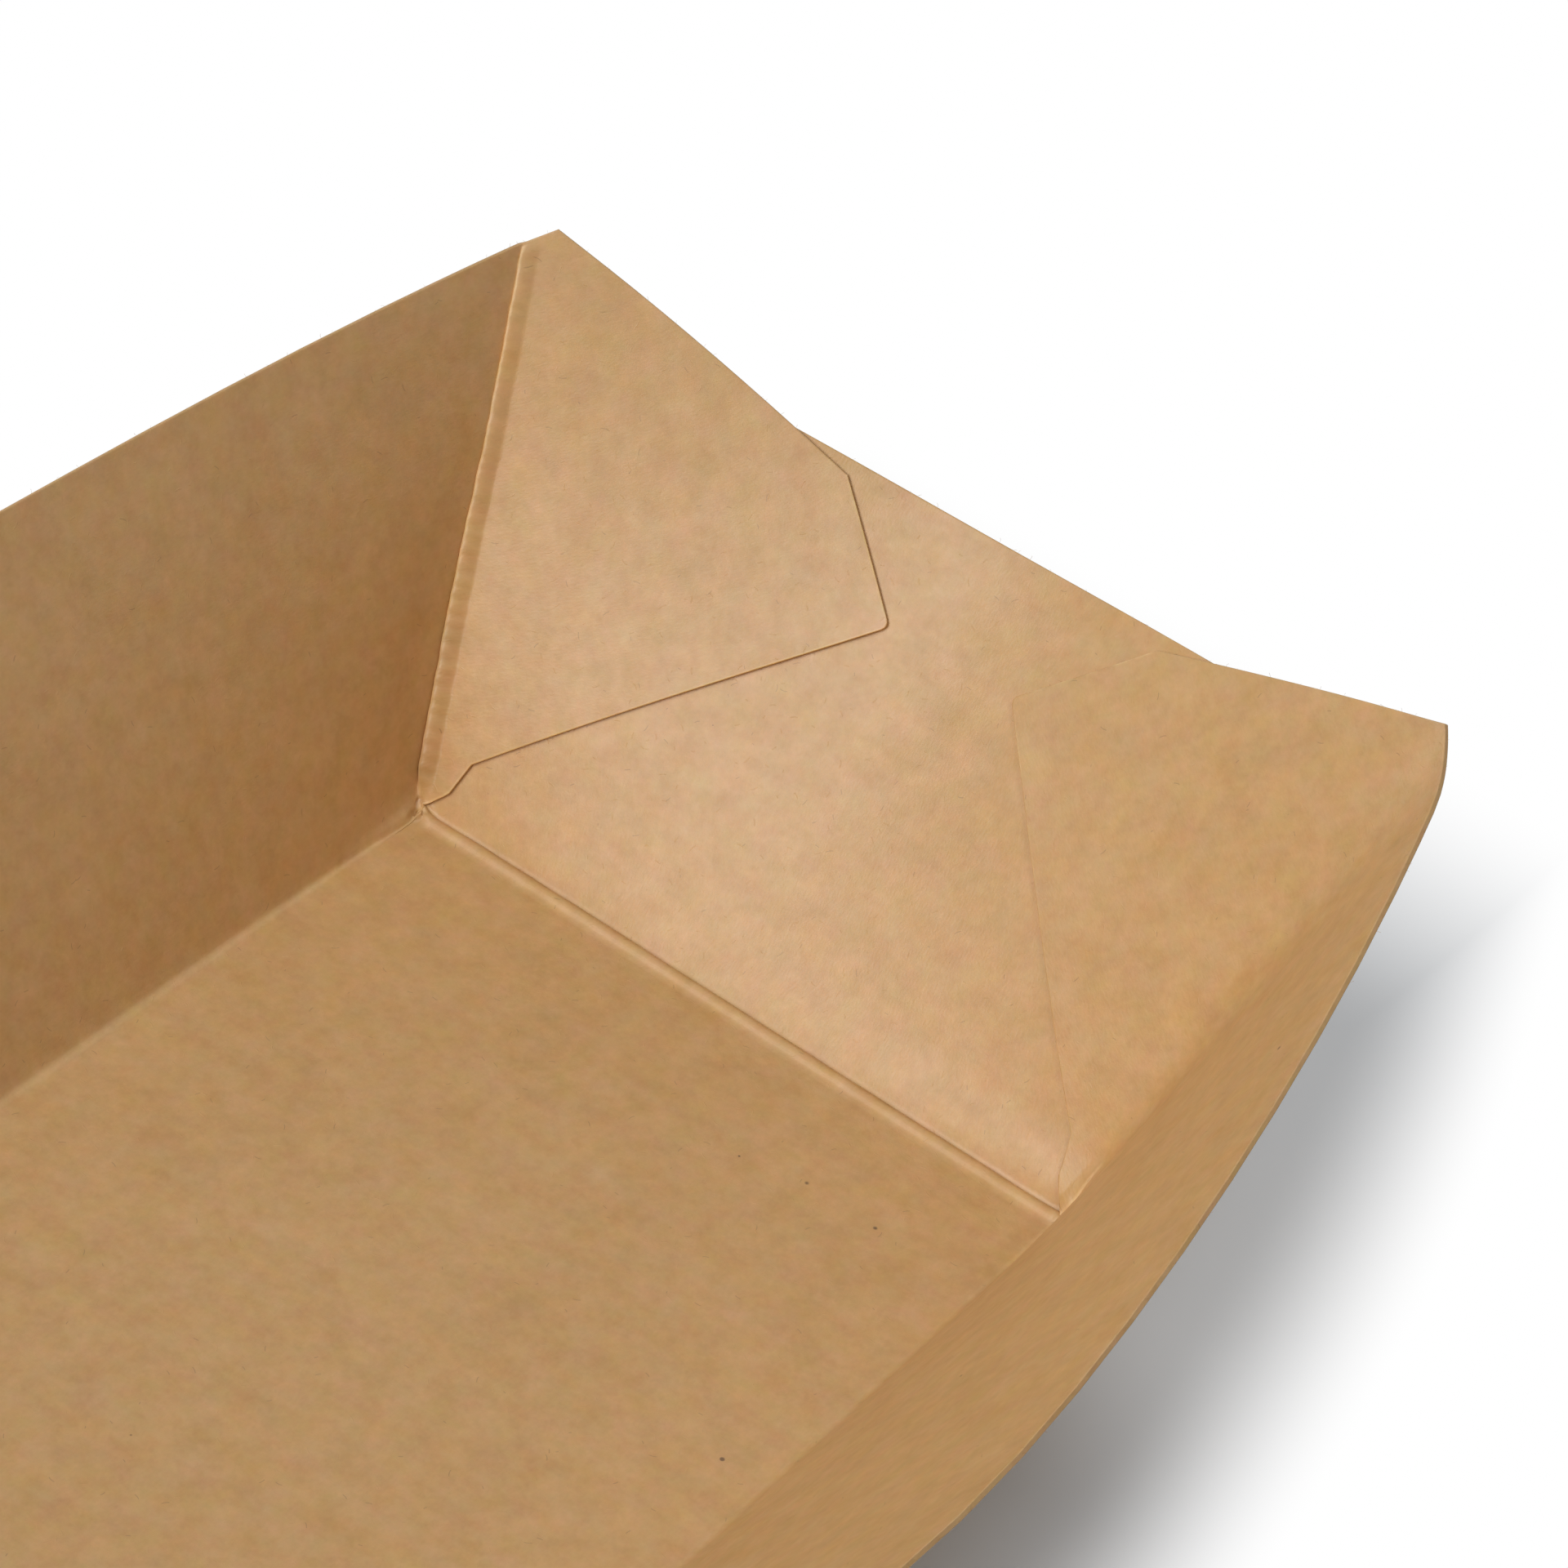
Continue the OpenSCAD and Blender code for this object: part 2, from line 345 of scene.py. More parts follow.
class Fold:
    """The rule that the walls follow. Sides and ends are given for the right wall and the far end."""

    probe = 0.01 * MM
    root_blend = 6 * MM

    def __init__(self, shape):
        self.shape = shape
        self.half_length = shape.base_length / 2
        self.half_width = shape.base_width / 2
        self.layer = shape.board + shape.glue_gap
        self.root_setback = self.layer / math.cos(shape.end_lean_corner)
        self.side_half = self.half_length - self.root_setback
        lean, end_lean = shape.side_lean_corner, shape.end_lean_corner
        self.side_flare = math.atan(math.tan(end_lean) * math.cos(lean))
        self.end_flare = math.atan(math.tan(lean) * math.cos(end_lean))
        self.crease_slope = shape.side_slope_corner * math.cos(lean) / math.cos(end_lean)
        self.crease_length = self.crease_slope / math.cos(self.end_flare)

    def side_lean(self, u):
        return mix(self.shape.side_lean_corner, self.shape.side_lean_middle, bow(u))

    def end_lean(self, u):
        return mix(self.shape.end_lean_corner, self.shape.end_lean_middle, bow(u))

    def side_slope(self, u):
        return mix(self.shape.side_slope_middle, self.shape.side_slope_corner, u * u)

    def end_half(self, s):
        return self.half_width + s * math.tan(self.end_flare)

    def side_face(self, u, s):
        """Inner face of the right side wall, u along it from -1 to 1 and s up its slope."""
        lean = self.side_lean(u)
        along = u * (self.side_half + s * math.tan(self.side_flare))
        return points(
            self.half_width + s * np.sin(lean), along, self.shape.board + s * np.cos(lean)
        )

    def end_face(self, x, s):
        """Inner face of the far end wall, x across it and s up its slope."""
        lean = self.end_lean(x / self.end_half(s))
        return points(x, self.half_length + s * np.sin(lean), self.shape.board + s * np.cos(lean))

    def tab_face(self, x, s):
        """Inner face of the right wall's tab, a layer of board in front of the end wall."""
        across = self.end_face(x + self.probe, s) - self.end_face(x - self.probe, s)
        up = self.end_face(x, s + self.probe) - self.end_face(x, s - self.probe)
        square = np.abs(unit(np.cross(across, up))[..., 1])
        clear = smooth(self.end_half(s) - x, 0.0, self.root_blend)
        setback = mix(self.root_setback, self.layer / square, clear)
        return self.end_face(x, s) - points(0.0, setback, 0.0)

    def crease_ways(self, along):
        """Unit directions from the corner crease into the side wall and into the tab."""
        s = along * math.cos(self.side_flare)
        s_end = along * math.cos(self.end_flare)
        line = self.side_face(1.0, s)
        step = self.probe
        crease = unit(self.side_face(1.0, s + step) - line)
        into_wall = self.side_face(1.0 - step / self.half_length, s) - line
        root = self.end_half(s_end)
        into_tab = self.end_face(root - step, s_end) - self.end_face(root, s_end)

        def square(v):
            return unit(v - crease * np.sum(v * crease, axis=-1, keepdims=True))

        return square(into_wall), square(into_tab)


# How grid lines spread from a crease or a cut edge: the first gap, how many gaps are that size, and
# the growth from there
BY_FOLD = (0.08 * MM, 5, 1.35)
BY_FLOOR_END = (0.1 * MM, 6, 1.7)
BY_FLOOR_SIDE = (0.1 * MM, 8, 1.7)
BY_CORNER_BEAD = (0.1 * MM, 14, 1.7)
BY_CUT = (0.03 * MM, 1, 1.9)


def graded(start, step, most):
    """Places that start close together and reach a step apart."""
    gap, even, growth = start
    places = [0.0]
    while gap < step and places[-1] + gap < most:
        places.append(places[-1] + gap)
        if len(places) > even:
            gap *= growth
    return np.array(places)


def spaced(length, step, start, stop):
    """Places from 0 to length, close together at both ends and up to step apart between."""
    first, last = graded(start, step, length / 3), graded(stop, step, length / 3)
    left = length - last[-1] - first[-1]
    steps = max(2, round(left / step) + 1)
    between = np.linspace(first[-1], length - last[-1], steps)[1:-1]
    return np.concatenate([first, between, (length - last)[::-1]])


def along_line(line, share):
    """Places at shares of the length of a line of straight stretches."""
    line = np.array(line)
    reach = np.concatenate([[0.0], np.cumsum(np.linalg.norm(np.diff(line, axis=0), axis=1))])
    reach /= reach[-1]
    return np.stack([np.interp(share, reach, line[:, k]) for k in (0, 1)], axis=-1)


def share_of(line, number):
    """The share of a line's length at which one of its points lies."""
    reach = np.cumsum(np.linalg.norm(np.diff(np.array(line), axis=0), axis=1))
    return reach[number - 1] / reach[-1]


def distance_to(line, at):
    """Least distance from each place to a line of straight stretches."""
    least = np.full(at.shape[:-1], np.inf)
    for start, stop in zip(line[:-1], line[1:]):
        run = np.subtract(stop, start)
        t = np.clip(((at - start) @ run) / (run @ run), 0.0, 1.0)
        least = np.minimum(least, np.linalg.norm(at - start - t[..., None] * run, axis=-1))
    return least


def rounded(start, corner, stop, radius, steps):
    """Points of a rounded corner between two straight edges."""
    coming = (corner - start) / np.linalg.norm(corner - start)
    going = (stop - corner) / np.linalg.norm(stop - corner)
    cut = radius * math.tan(math.acos(coming @ going) / 2)
    first, last = corner - coming * cut, corner + going * cut
    shares = np.linspace(0.0, 1.0, steps + 1)[:, None]
    return mix(mix(first, corner, shares), mix(corner, last, shares), shares)


UP = np.array([0.0, 0.0, 1.0])
CREASES = ("corner", "end", "side")
BEAD_PARTS = ("Near", "Far", "Rise", "Skew")


def panel(co, blank, inward):
    """A panel's grid of places, and what its places know: where they lie on the flat blank, and how
    far they are from each crease and from the nearest cut edge."""
    known = {"co": co, "blank": blank, "free": np.full(co.shape[:2], NOWHERE)}
    known["edge_wear"] = np.zeros(co.shape[:2])
    for crease in CREASES:
        known[crease + "_radius"] = np.zeros(co.shape[:2])
        known[crease + "_across"] = np.full(co.shape[:2], NOWHERE)
        known[crease + "_along"] = np.zeros(co.shape[:2])
        known[crease + "_share"] = np.zeros(co.shape[:2])
        known[crease + "_out"] = np.zeros(co.shape)
        known[crease + "_lift"] = np.zeros(co.shape)
    known["inward"] = np.array(inward, float)
    return known


def mirrored(known, axis):
    """The same panel on the tray's other side."""
    sign = np.ones(3)
    sign[axis] = -1
    other = dict(known)
    ways = [crease + way for crease in CREASES for way in ("_out", "_lift")]
    for name in ["co", "inward"] + ways:
        other[name] = known[name] * sign
    other["blank"] = known["blank"] * sign[:2]
    return other


class Blank:
    """The panels of the blank, on grid lines that close up at creases and cut edges."""

    # Widest steps of the grids: up a side wall, along the tray, across it, up an end wall, along a tab
    row_step = 0.31 * MM
    column_step = 6 * MM
    cross_step = 1.7 * MM
    end_step = 3 * MM
    tab_step = 2.6 * MM
    # Steps round a tab's outer corner and over the floor's strip beyond a side wall, and the least
    # gap between a tab's grid line and one of its kinks
    arc_steps = 8
    strip_steps = 5
    least_gap = 0.1 * MM
    # Height over which the gap beside an end wall's slanted edge opens
    edge_opening = 1.5 * MM

    # A side bead is full by the corners and falls to its least share over the pucker. It starts
    # clear of the corner, and is lower on the right side. Its fold softens away from the corners.
    pucker = 9 * MM
    side_least = 0.08
    corner_clear = (0.2 * MM, 1.6 * MM)
    soft_side = 0.4
    side_softens = (4 * MM, 16 * MM)
    # An end bead fades out before the left wall, and climbs this far up the right one
    end_fade = 0.5 * MM
    bead_climb = 1.3 * MM
    # A left corner's bead starts above its foot, falls to this share at the rim and fades out there
    foot_fade = (1.2 * MM, 4.5 * MM)
    top_share = 0.45
    fade = 1.0 * MM
    # A right corner's bead has this share, over this reach, and its fold this radius at the foot
    soft_share = 0.3
    soft_reach = 7 * MM
    soft_foot = 1.4 * MM
    # A right tab's cut edge is pale, with wear and a painted highlight, by this share, in stretches of
    # about this length
    soft_wear_and_highlight = 0.5
    broken_length = 0.8 * MM
    broken_edge = 0.6

    def __init__(self, shape, creases):
        self.shape = shape
        self.creases = creases
        self.fold = fold = Fold(shape)
        half = fold.side_half
        self.along = spaced(2 * half, self.column_step, BY_FLOOR_END, BY_FLOOR_END) / half - 1.0
        half = fold.half_width
        self.across = spaced(2 * half, self.cross_step, BY_FLOOR_SIDE, BY_FLOOR_SIDE) / half - 1.0
        slope = shape.side_slope_corner
        self.rows = spaced(slope, self.row_step, BY_FOLD, BY_CUT) / slope
        self.end_rows = spaced(shape.end_slope, self.end_step, BY_FOLD, BY_CUT)

    def press(self, known, crease, across, along, share, out, lift):
        """Notes how far a panel's places are from a crease, and how much bead it raises there."""
        number = np.zeros(known["free"].shape)
        way = np.zeros(known["co"].shape)
        known[crease + "_across"] = across + number
        known[crease + "_along"] = along + number
        known[crease + "_share"] = share + number
        known[crease + "_out"] = out + way
        known[crease + "_lift"] = lift + way

    def end_crease(self, known, x, across, end=1.0):
        """An end bead fades out before the left wall, and runs into the right one."""
        lean = self.fold.end_lean(np.clip(x / self.fold.half_width, -1, 1))
        share = np.where(x > 0, 1.0, smooth(self.fold.half_width - np.abs(x), 0.0, self.end_fade))
        known["end_radius"] = known["end_radius"] + self.creases.end_radius
        out = points(0.0, end * (np.sin(lean) - 1.0), np.cos(lean))
        self.press(known, "end", across, x, share, out, UP)

    def side_crease(self, known, y, across, side=1.0):
        lean = self.fold.side_lean(np.clip(y / self.fold.side_half, -1, 1))
        from_corner = self.fold.side_half - np.abs(y)
        share = mix(1.0, self.side_least, smooth(from_corner, 0.0, self.pucker))
        share = share * smooth(from_corner, *self.corner_clear)
        share = share * np.where(side > 0, self.soft_side, 1.0)
        soft = self.creases.side_radius * smooth(from_corner, *self.side_softens)
        known["side_radius"] = known["side_radius"] + soft
        out = points(side * (np.sin(lean) - 1.0), 0.0, np.cos(lean))
        off_wall = points(-side * np.cos(lean), 0.0, np.sin(lean))
        self.press(known, "side", across, y, share, out, off_wall)

    def corner_crease(self, known, along, across, end=1.0, soft=False):
        """The left wall's corners are folded sharply and keep their bead. The right wall's are
        folded softly, more so towards the rim, and their bead fades out."""
        length = self.fold.crease_length
        reach = np.clip(along / length, 0.0, 1.0)
        sharp = self.creases.fold_radius
        least = mix(sharp, self.soft_foot, smooth(along, *self.foot_fade)) if soft else sharp
        softest = self.creases.soft_radius if soft else sharp
        known["corner_radius"] = mix(least, softest, smooth(reach, 0.0, 1.0))
        if soft:
            share = self.soft_share * (1.0 - smooth(along, 0.0, self.soft_reach))
        else:
            share = mix(1.0, self.top_share, reach) * smooth(along, *self.foot_fade)
        share = share * smooth(length - along, 0.0, self.fade)
        into_wall, into_tab = self.fold.crease_ways(reach * length)
        turned = points(1.0, end, 1.0)
        out, lift = (into_wall + into_tab) * turned, into_wall * turned
        self.press(known, "corner", across, along, share, out, lift)

    def floor(self):
        fold = self.fold
        strip = mix(fold.side_half, fold.half_length, np.linspace(0, 1, self.strip_steps + 1)[1:])
        strip[-1] = fold.half_length
        y = np.concatenate([-strip[::-1], self.along * fold.side_half, strip])[:, None]
        x = (self.across * fold.half_width)[None, :]
        co = points(x, y, self.shape.board)
        known = panel(co, co[..., :2].copy(), (0, 0, 1))
        beyond = np.abs(y) > fold.side_half
        known["free"] = np.where(beyond, fold.half_width - np.abs(x), NOWHERE)
        self.end_crease(known, x, np.abs(y) - fold.half_length, np.sign(y))
        self.side_crease(known, y, np.abs(x) - fold.half_width, np.sign(x))
        return known

    def side_wall(self, soft):
        fold = self.fold
        u = self.along[None, :]
        s = self.rows[:, None] * fold.side_slope(u)
        flat_y = u * (fold.side_half + s * math.tan(fold.side_flare))
        known = panel(
            fold.side_face(u, s),
            np.stack(np.broadcast_arrays(fold.half_width + s, flat_y), axis=-1),
            (-1, 0, 0),
        )
        known["free"] = fold.side_slope(u) - s
        self.side_crease(known, u * fold.side_half, s)
        if soft:
            share = 1.0 - smooth(s, 0.0, self.bead_climb)
            beyond = np.abs(flat_y) - fold.half_length
            self.press(known, "end", beyond, fold.half_width, share, points(0.0, 0.0, 0.0), UP)
        else:
            known["side_share"] = known["side_share"] / self.soft_side
        reach = fold.side_half - np.abs(flat_y)
        sine, cosine = math.sin(fold.side_flare), math.cos(fold.side_flare)
        off, up = s * sine + reach * cosine, s * cosine - reach * sine
        self.corner_crease(known, up, -off, np.where(u < 0, -1.0, 1.0), soft)
        return known

    def end_wall(self):
        fold = self.fold
        s = self.end_rows[:, None]
        gap = self.shape.end_edge_gap * smooth(s, 0.0, self.edge_opening)
        half = fold.end_half(s) - gap
        x = self.across[None, :] * half
        known = panel(
            fold.end_face(x, s),
            np.stack(np.broadcast_arrays(x, fold.half_length + s), axis=-1),
            (0, -1, 0),
        )
        slanted = (half - np.abs(x)) * math.cos(fold.end_flare)
        known["free"] = np.minimum(self.shape.end_slope - s, slanted)
        self.end_crease(known, self.across[None, :] * fold.half_width, s)
        return known

    def tab_outline(self, reach):
        """A tab's free edges as [x, height up the slope]: from the floor's corner to its outer
        corner, on to its shoulder, and from the crease's top to the shoulder."""
        shape, fold = self.shape, self.fold
        root = np.array([fold.half_width, 0.0])
        foot = np.array([fold.half_width - shape.tab_foot_width, shape.tab_foot_height])
        step = foot + [-shape.tab_step_width, shape.tab_step_height]
        corner = np.array([fold.half_width - reach, shape.tab_corner_height])
        shoulder = corner + [shape.tab_end_run, shape.tab_end_rise]
        crease_top = np.array([fold.end_half(fold.crease_slope), fold.crease_slope])
        turn = fold.side_flare + fold.end_flare + shape.tab_tip_turn
        tip = crease_top + shape.tab_tip_run * np.array([-math.cos(turn), math.sin(turn)])
        arc = list(rounded(step, corner, shoulder, shape.tab_corner_radius, self.arc_steps))
        half = self.arc_steps // 2
        lower = [root, foot, step] + arc[: half + 1]
        outer = arc[half:] + [shoulder]
        upper = [crease_top, tip, shoulder]
        return lower, outer, upper

    def tab(self, reach, soft):
        """The right wall's tab at the far end, on a grid that follows its four edges."""
        fold = self.fold
        lower, outer, upper = self.tab_outline(reach)
        h = spaced(reach, self.tab_step, BY_CORNER_BEAD, BY_CUT) / reach
        for line, number in ((lower, 1), (lower, 2), (upper, 1)):
            kink = share_of(line, number)
            h = h[np.abs(h - kink) > self.least_gap / reach]
            h = np.sort(np.append(h, kink))
        v = self.rows[:, None, None]
        slope = self.rows * fold.crease_slope
        root = np.stack([fold.end_half(slope), slope], axis=-1)[:, None]
        far = along_line(outer, self.rows)[:, None]
        low, high = along_line(lower, h)[None], along_line(upper, h)[None]
        h = h[None, :, None]
        corners = mix(mix(low[:, :1], low[:, -1:], h), mix(high[:, :1], high[:, -1:], h), v)
        at = mix(root, far, h) + mix(low, high, v) - corners
        x, s = at[..., 0], at[..., 1]
        co = fold.tab_face(x, s)
        co[:, 0] = fold.side_face(np.array([1.0]), self.rows * fold.side_slope(np.array([1.0])))
        off = x - fold.half_width
        sine, cosine = math.sin(fold.end_flare), math.cos(fold.end_flare)
        along, across = off * sine + s * cosine, s * sine - off * cosine
        blank = self.unfolded(along, across)
        known = panel(co, blank, (0, -1, 0))
        known["free"] = distance_to(lower + outer[1:] + upper[::-1][1:], at)
        to_edge = distance_to(lower + outer[1:], at)
        # The pale line along the cut edges: wear and a painted highlight
        known["edge_wear"] = np.clip(1.0 - to_edge / self.creases.edge_wear, 0.0, 1.0)
        if soft:
            known["edge_wear"] *= self.soft_wear_and_highlight * self.broken(x)
        self.corner_crease(known, along, across, soft=soft)
        return known

    def broken(self, x):
        """1 and 0 in turns of uneven length, for a pale line of wear and painted highlight in
        stretches.
        """
        waves = np.sin(x / self.broken_length) + np.sin(x / self.broken_length * math.e)
        return smooth(waves, -self.broken_edge, self.broken_edge)

    def unfolded(self, along, across):
        """Where a tab's place lies on the flat blank, past the corner crease."""
        sine, cosine = math.sin(self.fold.side_flare), math.cos(self.fold.side_flare)
        out = self.fold.half_width + along * cosine - across * sine
        on = self.fold.side_half + along * sine + across * cosine
        return np.stack([out, on], axis=-1)

    def panels(self):
        """All panels. What lies on the left is made as on the right and mirrored."""
        end = self.end_wall()
        right = self.tab(self.shape.right_tab_reach, soft=True)
        left = mirrored(self.tab(self.shape.left_tab_reach, soft=False), 0)
        tabs = [right, mirrored(right, 1), left, mirrored(left, 1)]
        sides = [self.side_wall(soft=True), mirrored(self.side_wall(soft=False), 0)]
        return [self.floor(), *sides, end, mirrored(end, 1), *tabs]


def weld(panels):
    """One sheet from the panels: what each place knows, and the faces that look into the tray."""
    names = [name for name in panels[0] if name != "inward"]
    gathered = {n: np.concatenate([p[n].reshape(-1, *p[n].shape[2:]) for p in panels]) for n in names}
    places = np.round(gathered["co"], WELD_DECIMALS) + 0.0
    _, kept, place_of = np.unique(places, axis=0, return_index=True, return_inverse=True)
    order = np.argsort(kept)
    rank = np.empty_like(order)
    rank[order] = np.arange(len(order))
    place_of = rank[place_of.ravel()]
    sheet = {name: gathered[name][kept[order]] for name in names}
    faces = []
    start = 0
    for known in panels:
        rows, columns = known["co"].shape[:2]
        number = start + np.arange(rows * columns).reshape(rows, columns)
        start += rows * columns
        quads = np.stack(
            [number[:-1, :-1], number[:-1, 1:], number[1:, 1:], number[1:, :-1]], axis=-1
        ).reshape(-1, 4)
        co = gathered["co"][quads]
        facing = np.cross(co[:, 2] - co[:, 0], co[:, 3] - co[:, 1]).sum(axis=0)
        faces.append(place_of[quads if facing @ known["inward"] > 0 else quads[:, ::-1]])
    return sheet, np.concatenate(faces)


def face_normals(co, faces):
    corner = co[faces]
    return np.cross(corner[:, 2] - corner[:, 0], corner[:, 3] - corner[:, 1])


def place_normals(co, faces):
    """Unit normal of each place, from the faces around it."""
    normals = unit(face_normals(co, faces) + TINY)
    total = np.zeros_like(co)
    for k in range(4):
        np.add.at(total, faces[:, k], normals)
    return unit(total)


def stray(sheet, fold, creases):
    """Lets folds stray from their creases, as in a tray that is folded by hand: the right ends of
    the end folds go inwards, and the feet of the left corners' folds outwards. A layer that lies on
    another goes with it."""
    x, y, z = sheet["co"].T
    foot, top = fold.side_face(np.ones(2), np.array([0.0, fold.side_slope(1.0)]))
    up = z - foot[2]
    off_fold = np.hypot(np.abs(y) - foot[1], up)
    share = smooth(x, -fold.half_width, fold.half_width) * (1.0 - smooth(off_fold, *STRAY_END))
    inwards = -np.sign(y) * creases.end_stray * share
    climbed = up / (top[2] - foot[2])
    line = foot + (top - foot) * climbed[:, None]
    beyond = np.abs(y) - line[:, 1]
    beyond = np.where(beyond < 0, beyond / STRAY_WALL, beyond)
    off_line = np.hypot(np.abs(x) - line[:, 0], beyond)
    share = (1.0 - smooth(off_line, *STRAY_CORNER)) * (1.0 - smooth(climbed, *STRAY_CLIMB))
    share = share * smooth(up, *STRAY_FOOT) * (x < 0)
    sheet["co"] = sheet["co"] + np.stack([-creases.corner_stray * share, inwards, z * 0], axis=-1)


def round_folds(sheet, radius):
    """Rounds each fold on its inner side."""
    for crease in CREASES:
        by = np.maximum(sheet[crease + "_radius"], radius)
        near = np.clip(1.0 - np.abs(sheet[crease + "_across"]) / by, 0.0, 1.0) / 2
        sheet["co"] = sheet["co"] + (by * near * near)[:, None] * sheet[crease + "_out"]


def cut_edges(faces):
    """Directed sides of faces that no other face shares."""
    sides = np.concatenate([faces[:, [k, (k + 1) % 4]] for k in range(4)])
    count = faces.max() + 1
    code = sides[:, 0] * count + sides[:, 1]
    back = sides[:, 1] * count + sides[:, 0]
    return sides[~np.isin(code, back)]


def thicken(sheet, faces, board, edge_round):
    """Both sides of the board and its cut edges, which are a little rounded."""
    outward = -place_normals(sheet["co"], faces)
    inside = np.clip(edge_round - sheet["free"], 0.0, edge_round)
    drop = (edge_round - np.sqrt(edge_round**2 - inside**2))[:, None]
    face_side = sheet["co"] + outward * drop
    reverse_side = sheet["co"] + outward * (board - drop)
    co = np.concatenate([face_side, reverse_side])
    edges = cut_edges(faces)
    count = len(sheet["co"])
    rim = np.stack([edges[:, 1], edges[:, 0], edges[:, 0] + count, edges[:, 1] + count], axis=-1)
    quads = np.concatenate([faces, faces[:, ::-1] + count, rim])
    kind = np.repeat([FACE, REVERSE, CUT], [len(faces), len(faces), len(rim)])
    return co, quads, kind


def floor_corner(shape):
    """Where the floor, the right wall and its tab meet at the far end."""
    return np.array([shape.base_width / 2, Fold(shape).side_half, shape.board])


def wear_and_painted_light_lines(sheet, corner, reach):
    """How pale each place is: about 1 along the folds, from wear and a painted highlight, more along
    the tabs' cut edges, also partly a painted highlight, and at the floor's left corners, and below 0
    where shade is painted into the corner beads' grooves."""

    def line(crease, middle, width, strength):
        off = (sheet[crease + "_across"] - middle) / width
        return strength * np.clip(1.0 - off * off, 0.0, 1.0)

    off = np.linalg.norm(np.abs(sheet["co"]) - corner, axis=1) / reach
    worn = CORNER_WEAR * np.clip(1.0 - off, 0.0, 1.0) * (sheet["co"][:, 0] < 0)
    # Each crease's pale line: partly wear, partly a painted highlight
    for crease, place in WEAR_AND_HIGHLIGHT_LINES.items():
        there = np.clip(sheet[crease + "_share"] / PALE_LINE_SHARE, 0.0, 1.0)
        worn = np.maximum(worn, line(crease, *place) * there)
    # Painted shade in the groove at the foot of each corner bead
    painted_groove_shade = line("corner", *GROOVE_PAINTED_SHADE) * sheet["corner_share"]
    # The tabs' cut edges are paler, with wear and a painted highlight
    return np.maximum(worn, EDGE_WEAR_AND_HIGHLIGHT * sheet["edge_wear"]) - painted_groove_shade


def sharp_edges(mesh, quads, kind):
    """The edges at which a cut meets the face or the reverse."""
    count = len(mesh.vertices)

    def codes(pairs):
        return pairs.min(axis=1) * count + pairs.max(axis=1)

    cuts = quads[kind == CUT]
    sides = codes(np.concatenate([cuts[:, [0, 1]], cuts[:, [2, 3]]]))
    edges = np.empty(2 * len(mesh.edges), np.int32)
    mesh.edges.foreach_get("vertices", edges)
    return np.isin(codes(edges.reshape(-1, 2).astype(np.int64)), sides)


def set_values(mesh, name, kind, domain, values):
    field = "vector" if kind == "FLOAT_VECTOR" else "value"
    attribute = mesh.attributes.new(name, kind, domain)
    attribute.data.foreach_set(field, np.ascontiguousarray(values).ravel())


def board_mesh(shape, creases):
    """The tray's mesh with its folds rounded and its thickness on, before its beads are pressed."""
    sheet, faces = weld(Blank(shape, creases).panels())
    stray(sheet, Fold(shape), creases)
    round_folds(sheet, creases.fold_radius)
    co, quads, kind = thicken(sheet, faces, shape.board, shape.edge_round)
    mesh = bpy.data.meshes.new(BOARD_NAME)
    mesh.vertices.add(len(co))
    mesh.vertices.foreach_set("co", co.ravel())
    mesh.loops.add(quads.size)
    mesh.loops.foreach_set("vertex_index", quads.ravel().astype(np.int32))
    mesh.polygons.add(len(quads))
    mesh.polygons.foreach_set("loop_start", np.arange(0, quads.size, 4, dtype=np.int32))
    mesh.update(calc_edges=True)
    mesh.shade_smooth()
    count = len(sheet["co"])
    side = np.concatenate([np.ones(count), np.full(count, REVERSE_GROOVE)])
    for crease in CREASES:
        for part in ("_across", "_along"):
            values = np.tile(sheet[crease + part], 2).astype(np.float32)
            set_values(mesh, crease + part, "FLOAT", "POINT", values)
        share = (np.tile(sheet[crease + "_share"], 2) * side).astype(np.float32)
        set_values(mesh, crease + "_share", "FLOAT", "POINT", share)
        lift = np.tile(sheet[crease + "_lift"], (2, 1)).astype(np.float32)
        set_values(mesh, crease + "_lift", "FLOAT_VECTOR", "POINT", lift)
    set_values(mesh, SURFACE, "INT", "FACE", kind.astype(np.int32))
    # Paler with wear and a painted highlight, darker with painted shade, on the face only
    worn = wear_and_painted_light_lines(sheet, floor_corner(shape), creases.crush_reach / 2)
    set_values(mesh, WEAR_AND_PAINTED_LIGHT, "FLOAT", "POINT", np.concatenate([worn, worn * 0]).astype(np.float32))
    set_values(mesh, "sharp_edge", "BOOLEAN", "EDGE", sharp_edges(mesh, quads, kind))
    reverse = sheet["blank"] * [-1, 1]
    layout = np.concatenate([sheet["blank"], reverse]) / BLANK_UNIT
    layout[:count] += FACE_MIDDLE
    layout[count:] += REVERSE_MIDDLE
    uv = mesh.uv_layers.new(name=BLANK_UV)
    uv.uv.foreach_set("vector", layout[quads.ravel()].astype(np.float32).ravel())
    mesh.validate()
    return mesh


# Node trees


# Sockets that share a name in one node, by their numbers: a Mix node's colours and its mixed colour,
# a Compare node's whole numbers, and a Random Value node's least, most and result
MIX_COLOURS = (6, 7)
MIXED_COLOUR = 2
COMPARED = (2, 3)
RANDOM_RANGE = (2, 3)
RANDOM_RESULT = 1


